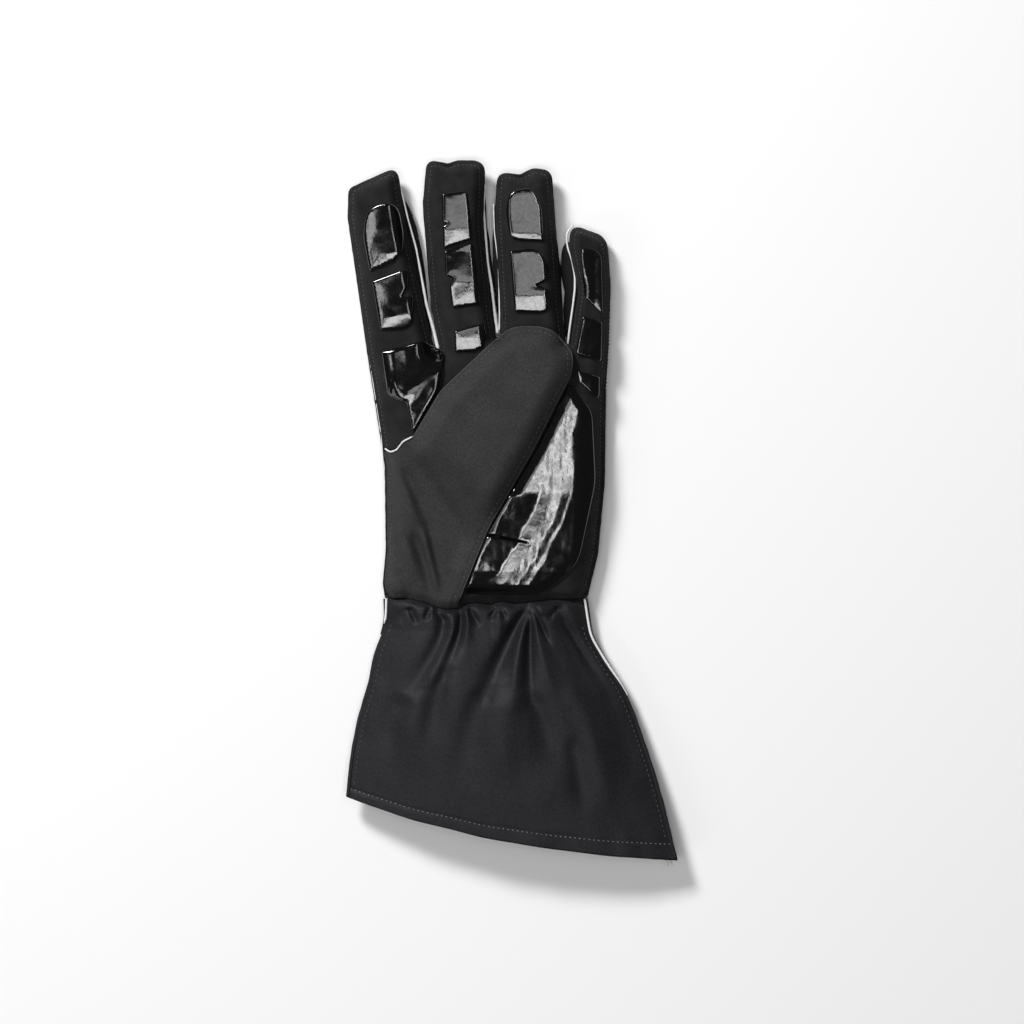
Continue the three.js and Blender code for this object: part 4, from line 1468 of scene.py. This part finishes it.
@dataclass
class PalmGrip(Grip):
    """The large palm grip: a long crest that falls away to both sides, steeper towards the little finger."""

    crest: tuple[tuple[float, float], ...] = (
        (-7.2, -42), (-0.5, -35.8), (3.5, -29.1), (9.5, -20.4), (12.2, -12.4), (17.6, -3.7), (21.6, 8.4),
        (22.3, 21.8), (21.6, 38.5), (24.9, 53.2), (26, 66),
    )
    slopes: tuple[tuple[float, float], ...] = (
        (-60, 0.1), (-21, 0.1), (-20, -0.15), (-9, -0.15), (-6, -0.04), (-2.5, -0.03), (-1.5, -0.066),
        (3, -0.076), (4, -0.12), (6.5, -0.12), (7, -0.072), (8.2, -0.072), (9, -0.16), (13, -0.13),
        (40, -0.115),
    )
    upper_slopes: tuple[tuple[float, float], ...] = (
        (-60, 0), (-24, 0), (-21, -0.0715), (8.6, -0.0715), (9.6, -0.16), (13, -0.13), (40, -0.115),
    )
    crest_height: float = 2.7
    falloff: float = 4.5
    foot_rise: float = 0.04
    foot_from: float = -30.0
    fine_ripple: float = 0.006
    long_ripple: float = 0.013
    upper_from: float = 5.5
    upper_to: float = 11.0
    outer: int = 6
    inner: tuple[int, ...] = (0, 10, 9, 6, 5)
    inner_band: float = 4.5
    inner_slope: float = 0.19

    def swell(self, x: Array, y: Array, away: Array) -> Array:
        """How far the crests stand up.

        Args:
            x: the places' x.
            y: the places' y.
            away: their distance from the edge; not used here.

        Returns:
            The height to add at each place.
        """
        line = np.array(self.crest)
        edge = away_from(rounded(self.corners[:self.outer], False, 2), x, y)
        side = np.sign(x - np.interp(y, line[:, 1], line[:, 0]))
        place = side * away_from(line, x, y)
        upper = smooth(self.upper_from, self.upper_to, y)
        z = (1 - upper) * self.profile(self.slopes, place) + upper * self.profile(self.upper_slopes, place)
        z = (self.crest_height + z) * smooth(0, self.falloff, edge)
        inner = away_from(rounded([self.corners[k] for k in self.inner], False, 2), x, y)
        z = z - self.inner_slope * upper * np.maximum(self.inner_band - inner, 0)
        z = z + self.foot_rise * np.maximum(self.foot_from - y, 0)
        return z + self.fine_ripple * waves(x, y, 3, 40) + self.long_ripple * waves(x, 0.25 * y, 5, 41)

    def profile(self, slopes: tuple[tuple[float, float], ...], place: Array) -> Array:
        """The height across the crest that a table of slopes adds up to, 0 on the crest.

        Args:
            slopes: distances from the crest with the slope there.
            place: the distances to look up.

        Returns:
            The height at each of them.
        """
        step = 0.25
        table = np.array(slopes)
        across = np.arange(table[0, 0], table[-1, 0], step)
        heights = np.cumsum(np.interp(across, table[:, 0], table[:, 1])) * step
        return np.interp(place, across, heights) - np.interp(0.0, across, heights)


@dataclass
class Grips:
    """All the moulded grips of the palm and fingers."""

    palm: PalmPanel
    finishes: Finishes

    def plans(self) -> list[Grip]:
        """The grips, finger by finger."""
        index_tip = outline(
            (-70.8, 118.8, 0.6), (-74, 136, 14), (-72.6, 150.6, 12), (-57, 154, 12), (-53.8, 138, 20),
            (-54.4, 129.6, 1.2), (-59, 123.6, 1.5),
        )
        index_middle = outline(
            (-69.6, 114, 0.5), (-52.2, 120.3, 0.5), (-51.8, 112, 3), (-54.8, 106.2, 0.3),
            (-49.4, 106.8, 0.3), (-49.2, 90.2, 7), (-65.6, 89.6, 2),
        )
        index_base = outline(
            (-64.8, 79, 0.5), (-44, 84.2, 3), (-33.5, 79, 4), (-36.8, 59.5, 1), (-49.4, 38.4, 1),
            (-52.4, 53.2, 2), (-61.8, 57, 5),
        )
        middle_tip = outline(
            (-34.8, 157.4, 1.5), (-22.4, 159, 1.5), (-19.8, 134.9, 0.5), (-34, 130.2, 0.5),
            (-34.4, 141.2, 0.3), (-32.2, 142.4, 0.3), (-34.6, 143.4, 0.3),
        )
        middle_middle = outline(
            (-33.6, 128.8, 0.5), (-19.6, 133.4, 0.5), (-16, 102.6, 2.5), (-29.8, 100.6, 1.5),
            (-31, 111.6, 0.5), (-28.8, 115.6, 0.4), (-33, 117, 0.5),
        )
        middle_base = outline(
            (-28.6, 89, 0.5), (-14, 93.4, 0.5), (-13, 88, 0.5), (-14.6, 81, 0.5), (-19, 79, 0.5),
            (-28.4, 78.9, 0.5),
        )
        ring_tip = outline(
            (-0.8, 134.4, 5.5), (-3, 148, 16), (-1.6, 158.8, 10), (11, 160.8, 12), (14.8, 150, 16),
            (15.7, 133.7, 0.5),
        )
        ring_middle = outline(
            (-1.1, 129, 0.5), (13, 130.4, 10), (18.4, 121, 12), (18.2, 115.2, 0.6), (12, 112.2, 0.3),
            (18.4, 109.8, 1.5), (18.2, 98.2, 5), (1.4, 98.8, 0.6),
        )
        little_tip = outline((34, 131.6, 4), (44.4, 128.6, 6), (45.2, 97.4, 0.8), (36, 106.4, 3))
        little_middle = outline((35.3, 96.6, 0.5), (44.8, 93.6, 0.5), (44.4, 74.2, 0.8), (31.6, 78.4, 0.8))
        little_base = outline((32.4, 69.6, 0.5), (43.6, 66.4, 0.5), (43.4, 55, 1.5), (33.6, 63.6, 0.8))
        palm = outline(
            (28.6, 63.6, 1.5), (39.8, 49, 12), (41.6, 14, 40), (32.4, -28.6, 26), (13, -42, 12),
            (-23.4, -41.6, 1), (-16.2, -22, 2), (-12.6, -12.8, 0.5), (13.2, -17.2, 0.3),
            (-12.2, -11.4, 0.5), (12, 30.2, 80),
        )
        web = fold_lines(
            (-59.4, 84, -58, 70, -55.5, 52, 0.5, 4.0), (-69, 66.5, -59, 62.5, -48, 57.5, 0.46, 3.4),
            (-57, 49, -45.5, 64, -28, 71, 0.46, 3.0), (-34, 67, -38.5, 55, -47.5, 36, 0.4, 4.0),
        )
        low = {"thickness": 0.4, "lift": 1.2, "ripple": 0.03, "ease": 0.6, "ease_from": 41}
        thin = {"thickness": 0.45, "lift": 0.8, "spacing": 0.9, "ripple": 0.03, "ease_from": 32}
        even = {"level_from": 40, "tilt": -0.15}
        full = {"crown": 0.24, "crown_reach": 9}
        return [
            Grip("index_grip_tip", index_tip, **full, seed=1),
            Grip("index_grip_middle", index_middle, **full, seed=2),
            Grip("index_grip_base", index_base, level_from=-59.5, tilt=0.085, seed=3, ridges=web),
            Grip("middle_grip_tip", middle_tip, seed=4), Grip("middle_grip_middle", middle_middle, seed=5),
            Grip("middle_grip_base", middle_base, seed=6), Grip("ring_grip_tip", ring_tip, seed=7),
            Grip("ring_grip_middle", ring_middle, seed=8),
            Grip("little_grip_tip", little_tip, seed=9, **low),
            Grip("little_grip_middle", little_middle, seed=10, **low, **even),
            Grip("little_grip_base", little_base, seed=11, **low, **even),
            PalmGrip("palm_grip", palm, **thin, seed=12),
        ]

    def build(self) -> list[Piece]:
        """Builds the grips."""
        return [plan.build(self.palm, self.finishes) for plan in self.plans()]


class CordPlan(NamedTuple):
    """A cord beside a finger: its name, its node, its route and its radius at both ends."""

    name: str
    node: str
    route: tuple[tuple[float, float], ...]
    thin: float
    thick: float


@dataclass
class FingerPiping:
    """The white cords beside the edges of the fingers, and the fine white edges of the hand."""

    form: HandForm
    finishes: Finishes
    above_seam: float = 1.5

    def plans(self) -> list[CordPlan]:
        """The four cords, from the fingertips to the roots."""
        return [
            CordPlan("index_cord", "piping_index", (
                (-55.4, 160.6), (-52, 146), (-47.8, 130.9), (-45.1, 116.4), (-42.7, 103), (-39.3, 90.9),
                (-36.9, 80.6),
            ), 0.38, 0.95),
            CordPlan("middle_cord", "piping_middle", (
                (-13.4, 162.4), (-14.2, 151.5), (-13.3, 139.4), (-12.1, 124.3), (-10.2, 112.2), (-8.4, 97),
                (-7.2, 88.5),
            ), 0.55, 0.75),
            CordPlan("ring_cord", "piping_ring", (
                (-9.2, 152.7), (-8.8, 139), (-6.9, 124.3), (-6.4, 110), (-6.2, 97), (-6.4, 90),
            ), 0.28, 0.4),
            CordPlan("little_cord", "piping_little", (
                (30.6, 142.2), (29.3, 141.1), (27.3, 138.2), (27.4, 132), (29.7, 125.8), (31.4, 117.9),
                (31.4, 110.5), (30.5, 103), (28.9, 91.8), (27.8, 83.1),
            ), 0.5, 0.55),
        ]

    def build(self) -> list[Piece]:
        """Builds the four cords and the fine white edges."""
        made = []
        for k, plan in enumerate(self.plans()):
            line = rounded([Corner(x, y, 30) for x, y in plan.route], False, 0.8)
            t = np.linspace(0, 1, len(line))
            radius = plan.thin + (plan.thick - plan.thin) * t**1.5
            radius = radius * (1 + 0.1 * waves(line[:, 1], line[:, 0], 7, 20 + k))
            z = self.form.seam_height(line[:, 1]) + self.above_seam
            piece = tube(plan.name, np.column_stack([line, z]), radius, self.finishes.white, 12)
            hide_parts(plan.node)
            made.append(piece)
        return made + [self.little_edge(), self.hand_edge()]

    def little_edge(self) -> Piece:
        """Builds the fine white stitches along the little finger's outer edge."""
        line = rounded(outline((49.3, 134), (49.4, 112, 60), (48.4, 84, 60), (47, 60)), False, 0.6)
        path = np.column_stack([line, self.form.seam_height(line[:, 1]) + 2.2])
        stitches = StitchRow(pitch=1.9, length=1.2, radius=0.16, seed=81)
        row = stitches.sew("little_edge_stitches", path, self.finishes.white)
        return row

    def hand_edge(self) -> Piece:
        """Builds the fine white edge on the left side of the hand."""
        corners = outline((-71.3, 77), (-67.2, 50, 40), (-65.3, 38, 20), (-64.3, 26, 20), (-63.6, 15))
        line = rounded(corners, False, 0.6)
        z = self.form.seam_height(line[:, 1]) + 2.6
        radius = 0.2 * (1 + 0.3 * waves(line[:, 1], line[:, 0], 5, 83))
        piece = tube("hand_white_edge", np.column_stack([line, z]), radius, self.finishes.white, 8)
        return piece


class Section(NamedTuple):
    """A section of the cuff: its place, its two side seams, their height, its rise, bow and shoulder."""

    at: float
    lx: float
    ly: float
    rx: float
    ry: float
    seam: float
    rise: float
    bow: float
    edge: float


@dataclass
class Cuff:
    """The gauntlet cuff: gathered at the wrist, with long folds, a hem and stitched side seams."""

    finishes: Finishes
    gap: float = 0.3
    cloth: float = 1.2
    across: int = 210
    hem_width: float = 5.6
    length: float = 120.0
    wrist_level: float = -47.2
    wrist_share: float = 0.07
    bow_lean: float = 0.14
    gather_rise: float = 1.6
    seam_dip: float = 1.0
    hem_wave: float = 0.45
    hem_rise: float = 0.35
    hem_groove: float = 0.45
    hem_ripple: float = 0.25
    palm_hem: float = 0.8
    back_hem: float = 0.9
    stitches_in: float = 3.4
    side_points: int = 140
    above_seam: float = 0.9
    sections: tuple[Section, ...] = (
        Section(0, -63, -47.3, 36.5, -47.3, 5, 7.2, 0, 5), Section(0.06, -63, -53, 38, -54, 5, 9.5, 0, 4.2),
        Section(0.14, -64.5, -60, 39.6, -62, 5.2, 11.8, -1, 3.4),
        Section(0.25, -68.5, -71, 46, -74, 5.8, 13.7, -2, 2.9),
        Section(0.4, -71.5, -85, 56.2, -90, 6.8, 15.2, -3, 2.6),
        Section(0.6, -77, -104.5, 66, -115, 8, 15, -4.5, 2.4),
        Section(0.8, -80.5, -123.5, 74.5, -142, 10.2, 12.4, -6, 2.3),
        Section(1, -82.5, -142.5, 82.4, -174.2, 12, 9.2, -6.6, 2.2),
    )
    creases: tuple[FoldLine, ...] = fold_lines(
        (-51, -48.5, -49.3, -52, -46.8, -56.5, -2.34, 1.56),
        (-52.5, -48.5, -54, -52, -55.5, -57, -1.26, 1.82),
        (-40.5, -48.5, -42, -51.5, -43.8, -55, -1.98, 1.56),
        (-38.5, -49, -35, -53, -31.5, -56.5, -2.34, 1.82),
        (-25.5, -49.5, -27, -62, -36, -80, -3.6, 2.99, 0.7),
        (-36, -52, -36.5, -65, -50, -88, -2.6, 3.91, 0.7), (-21.5, -49, -19, -53, -16, -58, -2.34, 1.82),
        (-7, -48.6, -9, -51, -11.5, -54.5, -1.98, 1.43), (-6, -48.6, -4.5, -51, -3, -54.5, -1.8, 1.43),
        (8.6, -48, 0, -62, -14, -92, -4.4, 3.91, 0.7), (9.6, -52, 8.8, -68, 9, -96, -3, 2.53, 0.7),
        (10.8, -49, 14, -56, 19, -68, -2.4, 1.5), (23, -48.3, 20.5, -51, 18, -54.5, -1.98, 1.56),
        (24.3, -48.3, 30, -64, 50, -94, -4.4, 3.91, 0.7), (-56, -50, -59, -55, -63, -62, -1.6, 2.2),
        (-28.5, -55, -32, -69, -45, -90, 2, 2.99, 0.7), (7, -54, 3.5, -68, 0.5, -98, 2.2, 2.76, 0.7),
        (10.9, -50, 13, -62, 20, -88, 1.8, 2.76, 0.7), (13.5, -46, 14.5, -49.5, 15.5, -53, 1.35, 3.12),
        (-22.5, -48.5, -22.5, -55, -23, -66, 1.8, 2.18, 0.6), (-6.5, -48.5, -6.5, -54, -7, -64, 1.2, 2.4),
        (24.5, -50, 27, -60, 33, -76, 1.4, 2.76, 0.7), (-32, -78, -37, -92, -40, -112, -2.2, 5.17, 0.7),
        (-54, -94, -60, -106, -64, -122, -1.8, 5.5), (-46, -92, -50, -108, -52, -126, 1.8, 6),
        (-12, -88, -20, -108, -24, -134, -2.4, 7.47, 0.6), (10, -92, 16, -108, 20, -130, -2.2, 6.32, 0.6),
        (-2, -92, -4, -110, -3, -136, 1.8, 7.5), (30, -114, 33, -130, 36, -150, -1.7, 4.6),
        (40, -112, 45, -130, 50, -150, 1.2, 6), (46, -92, 54, -112, 62, -136, -1.6, 6),
        (-68, -84, -71, -96, -73, -112, 1.4, 4.5), (30, -86, 38, -104, 44, -122, 1.5, 6),
    )

    def column(self, name: str, v: Array) -> Array:
        """Reads one column of the sections smoothly.

        Args:
            name: the column.
            v: places from wrist, 0, to hem, 1.

        Returns:
            Its value at each place.
        """
        at = np.array([s.at for s in self.sections])
        values = np.array([getattr(s, name) for s in self.sections], float)
        slope = np.gradient(values, at)
        k = np.clip(np.searchsorted(at, v, side="right") - 1, 0, len(at) - 2)
        wide = at[k + 1] - at[k]
        t = (v - at[k]) / wide
        smoothed = (2 * t**3 - 3 * t**2 + 1) * values[k] + (t**3 - 2 * t**2 + t) * wide * slope[k]
        smoothed += (-2 * t**3 + 3 * t**2) * values[k + 1] + (t**3 - t**2) * wide * slope[k + 1]
        return smoothed

    def place(self, u: Array, v: Array, bow: float = 1.0) -> tuple[Array, Array]:
        """The flat place of a point of the cuff.

        Args:
            u: from side seam, -1, to side seam, 1.
            v: from wrist, 0, to hem, 1.
            bow: how much of the hem's bow it takes.

        Returns:
            Its x and y.
        """
        t = (u + 1) / 2
        x = (1 - t) * self.column("lx", v) + t * self.column("rx", v)
        y = (1 - t) * self.column("ly", v) + t * self.column("ry", v)
        y = y + bow * self.column("bow", v) * (1 - u * u) * (1 - self.bow_lean * u)
        y = y + self.hem_wave * waves(x, 0 * x, 46, 35) * smooth(0.7, 1, v) * (1 - u * u)
        wrist = 1 - smooth(0, self.wrist_share, v)
        return x, y + wrist * (wrist_line(x) - self.wrist_level)

    def top(self, u: Array, v: Array, x: Array, y: Array) -> Array:
        """The height of the palm side's upper face.

        Args:
            u: from side seam to side seam.
            v: from wrist to hem.
            x: the flat x.
            y: the flat y.

        Returns:
            The height at each place.
        """
        middle = 1 - np.abs(u) ** 8
        base = self.column("seam", v) + self.gap / 2 + self.cloth
        z = base + self.column("rise", v) * (1 - np.abs(u) ** self.column("edge", v))
        below = v * self.length
        z = z + self.gather_rise * smooth(0, 4, below) * (1 - smooth(4, 16, below)) * middle
        z = z - self.seam_dip * bump(below, 1.5)
        z = z + folded(self.creases, x, y) * middle
        z = z + (0.35 * waves(x, y, 38, 31) + 0.12 * waves(x, y, 14, 32) + 0.04 * waves(x, y, 5, 33)) * middle
        hem = (1 - v) * self.length
        z = z + self.hem_rise * (1 - smooth(self.hem_width - 0.6, self.hem_width + 0.6, hem))
        z = z - self.hem_groove * bump(hem - self.hem_width - 0.3, 0.9)
        return z + self.hem_ripple * waves(x, y, 17, 34) * bump(hem, 9)

    def rows(self, fine: int, coarse: int) -> Array:
        """The places of the rows from wrist to hem, closer together at the gathers."""
        return np.concatenate([np.linspace(0, 0.18, fine, endpoint=False), np.linspace(0.18, 1, coarse)])

    def build(self) -> list[Piece]:
        """Builds the two panels, the side seams, the cords and the stitches."""
        return [self.palm_side(), self.back_side(), *self.side_seams(), *self.cords(), self.hem_stitches()]

    def in_hem(self, v: Array) -> Array:
        """How far each place from wrist, 0, to hem, 1, lies in the folded hem: 1 inside it."""
        return 1 - smooth(self.hem_width - 1, self.hem_width, (1 - v) * self.length)

    def palm_side(self) -> Piece:
        """Builds the gathered palm side."""
        u, v = np.meshgrid(np.linspace(-1, 1, self.across), self.rows(56, 110))
        x, y = self.place(u, v)
        z = self.top(u, v, x, y)
        outer = np.stack([x, y, z], axis=-1)
        inner = outer - np.array([0, 0, self.cloth])
        inner[..., 2] -= self.palm_hem * self.in_hem(v)
        piece = grid_piece("cuff_palm_side", outer, inner, self.finishes.satin)
        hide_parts("cuff_palm_panel")
        return piece

    def back_side(self) -> Piece:
        """Builds the back, flattened where it lies."""
        u, v = np.meshgrid(np.linspace(-1, 1, 110), self.rows(20, 70))
        x, y = self.place(u, v, 1.15)
        drop = 1 - np.abs(u) ** 6
        raised = (1.4 + 0.5 * waves(x, y, 8, 41)) * (1 - smooth(0, 0.12, v)) * (1 - u * u)
        thick = self.cloth + self.back_hem * self.in_hem(v)
        z = (self.column("seam", v) - self.gap / 2 - thick) * (1 - drop) + raised * drop
        outer = np.stack([x, y, z], axis=-1)
        inner = np.stack([x, y, z + thick], axis=-1)
        piece = grid_piece("cuff_back_side", outer, inner, self.finishes.satin)
        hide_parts("cuff_back_panel")
        return piece

    def side_line(self, side: Side, start: float, end: float, shift: float | tuple[float, float]) -> Array:
        """A line beside one of the side seams.

        Args:
            side: which seam.
            start: where it starts, from wrist, 0, to hem, 1.
            end: where it ends.
            shift: how far it lies outside the seam, the same or at its start and end.

        Returns:
            Its points in space.
        """
        v = np.linspace(start, end, self.side_points)
        u = np.full(self.side_points, float(side.value))
        x, y = self.place(u, v)
        flat = np.column_stack([x, y])
        away = np.linspace(*np.broadcast_to(shift, 2), self.side_points)[:, None]
        line = flat + (offset(flat, -side.value) - flat) * away
        return np.column_stack([line, self.column("seam", v) + self.above_seam])

    def side_seams(self) -> list[Piece]:
        """Builds the rolled side seams and their stitches."""
        made = []
        for side in Side:
            name = side.name.lower()
            line = self.side_line(side, 0.01, 0.995, -1.0)
            radius = 1.2 * (1 + 0.08 * waves(line[:, 0], line[:, 1], 9, 50 + side.value))
            welt = tube(f"cuff_side_seam_{name}", line, radius, self.finishes.satin, 12, flat=1.1)
            v = np.linspace(0.1, 0.94, 200)
            inward = self.stitches_in / (np.abs(self.column("rx", v) - self.column("lx", v)) / 2)
            path = self.on_top(side.value * (1 - inward), v, 0.08)
            stitches = StitchRow(pitch=2.6, length=1.4, radius=0.18, seed=60 + side.value)
            row = stitches.sew(f"cuff_side_stitches_{name}", path, self.finishes.thread)
            made += [welt, row]
        return made

    def on_top(self, u: Array, v: Array, rise: float) -> Array:
        """A line on the palm side.

        Args:
            u: from side seam to side seam.
            v: from wrist to hem.
            rise: how far above the cloth it lies.

        Returns:
            Its points in space.
        """
        x, y = self.place(u, v)
        return np.column_stack([x, y, self.top(u, v, x, y) + rise])

    def cords(self) -> list[Piece]:
        """Builds the white cords beside the wrist and their cut ends at the hem."""
        plans = (
            ("cuff_cord_left", "piping_cuff_left", Side.LEFT, 0.1, 0.6),
            ("cuff_cord_right", "piping_cuff_right", Side.RIGHT, 0.42, 0.62),
        )
        made = []
        for name, node, side, end, thick in plans:
            line = self.side_line(side, 0, end, (-0.35, 0.3))
            line[:, 2] += 1.0
            t = np.linspace(0, 1, len(line))
            radius = thick * (1 - 0.65 * smooth(0.7, 1, t))
            piece = tube(name, line, radius, self.finishes.white, 12)
            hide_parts(node)
            made.append(piece)
        for side, end in ((Side.LEFT, 0.16), (Side.RIGHT, 0.4)):
            line = self.side_line(side, 0.0, end, (0.75, 0.2))
            rim = tube(f"cuff_rim_{side.name.lower()}", line, 0.5, self.finishes.satin, 10)
            made.append(rim)
        for k, shift in enumerate((0.0, 2.0)):
            path = np.array([[78.2, -171, 11.6], [78.9, -174.4, 11.2], [79.8, -177, 10.8]]) - (shift, 0, 0)
            end = tube(f"cuff_cord_end_{k + 1}", spaced(path, False, 0.5), 0.45, self.finishes.white, 10)
            made.append(end)
        return made

    def hem_stitches(self) -> Piece:
        """Builds the stitch row above the hem."""
        u = np.linspace(-0.985, 0.985, 400)
        v = np.full(400, 1 - (self.hem_width + 0.3) / self.length)
        stitches = StitchRow(pitch=2.4, length=0.9, radius=0.2, seed=70)
        row = stitches.sew("hem_stitches", self.on_top(u, v, 0.12), self.finishes.pale_thread)
        return row


class Lamp(NamedTuple):
    """A soft lamp: place, width and length in metres, power in watts, and whether it faces straight down."""

    name: str
    place: tuple[float, float, float]
    wide: float
    long: float
    power: float
    down: bool = False


@dataclass
class Studio:
    """The pale surface, the lights and the camera."""

    frame_width: float = 0.512
    camera_height: float = 3.0
    sensor_mm: float = 36.0
    floor_half: float = 3.0
    floor_z: float = -0.0004
    sky: float = 0.06
    lamps: tuple[Lamp, ...] = (
        Lamp("key", (-1.01, 1.38, 1.42), 0.5, 0.5, 47), Lamp("fill", (-1.7, -1.3, 1.3), 1.4, 1.0, 7),
        Lamp("front_panel", (-0.3, -0.62, 3.05), 1.2, 0.5, 16, True),
        Lamp("top_panel", (0, 0.13, 3.05), 0.64, 0.74, 3.9, True),
        Lamp("right_strip", (0.48, -0.1, 3.05), 0.14, 2.0, 10, True),
        Lamp("left_panel", (-1.21, -0.1, 3.05), 0.3, 1.3, 6, True),
    )

    def build(self) -> None:
        """Builds the floor, the sky, the lights and the camera."""
        self.floor()
        self.sky_light()
        for plan in self.lamps:
            self.add_lamp(plan)
        self.camera()

    def floor(self) -> None:
        """Builds the pale floor."""
        mesh = bpy.data.meshes.new("floor")
        far = self.floor_half
        mesh.from_pydata([(-far, -far, 0), (far, -far, 0), (far, far, 0), (-far, far, 0)], [], [(0, 1, 2, 3)])
        floor = bpy.data.objects.new("floor", mesh)
        floor.location.z = self.floor_z
        bpy.context.scene.collection.objects.link(floor)
        nodes = new_material("pale_floor")
        nodes.finish({"Base Color": (*grey(0.93), 1), "Roughness": 0.95, "Specular IOR Level": 0.1})
        mesh.materials.append(nodes.material)

    def sky_light(self) -> None:
        """Sets the soft light from all round."""
        world = bpy.data.worlds.new("studio_sky")
        world.use_nodes = True
        background = world.node_tree.nodes["Background"]
        background.inputs["Color"].default_value = (1, 1, 1, 1)
        background.inputs["Strength"].default_value = self.sky
        bpy.context.scene.world = world

    def add_lamp(self, plan: Lamp) -> None:
        """Adds one lamp.

        Args:
            plan: its place, size and power.
        """
        data = bpy.data.lights.new(plan.name, "AREA")
        data.shape = "RECTANGLE"
        data.size, data.size_y = plan.wide, plan.long
        data.energy = plan.power
        lamp = bpy.data.objects.new(plan.name, data)
        lamp.location = plan.place
        if not plan.down:
            lamp.rotation_euler = (-Vector(plan.place)).to_track_quat("-Z", "Y").to_euler()
        bpy.context.scene.collection.objects.link(lamp)

    def camera(self) -> None:
        """Adds the camera, straight above the glove."""
        data = bpy.data.cameras.new("camera")
        data.sensor_width = self.sensor_mm
        data.lens = self.sensor_mm * self.camera_height / self.frame_width
        data.clip_start, data.clip_end = 0.05, 20
        camera = bpy.data.objects.new("camera", data)
        camera.location = (0, -0.00075, self.camera_height)
        bpy.context.scene.collection.objects.link(camera)
        bpy.context.scene.camera = camera


def main() -> None:
    """Builds the glove piece by piece and reports each one."""
    logging.basicConfig(level=logging.INFO, format="%(name)s %(message)s")
    bpy.context.scene.view_settings.view_transform = "Standard"
    Studio().build()
    finishes = Finishes()
    form = HandForm()
    palm = PalmPanel(form, finishes)
    parts = (
        palm, ThumbPanel(form, finishes), BackPanel(form, finishes), SideWalls(form, finishes),
        Grips(palm, finishes), FingerPiping(form, finishes), Cuff(finishes),
    )
    for part in parts:
        for piece in part.build():
            log.info("%s: %d faces", piece.name, len(piece.data.polygons))


if __name__ == "__main__":
    main()
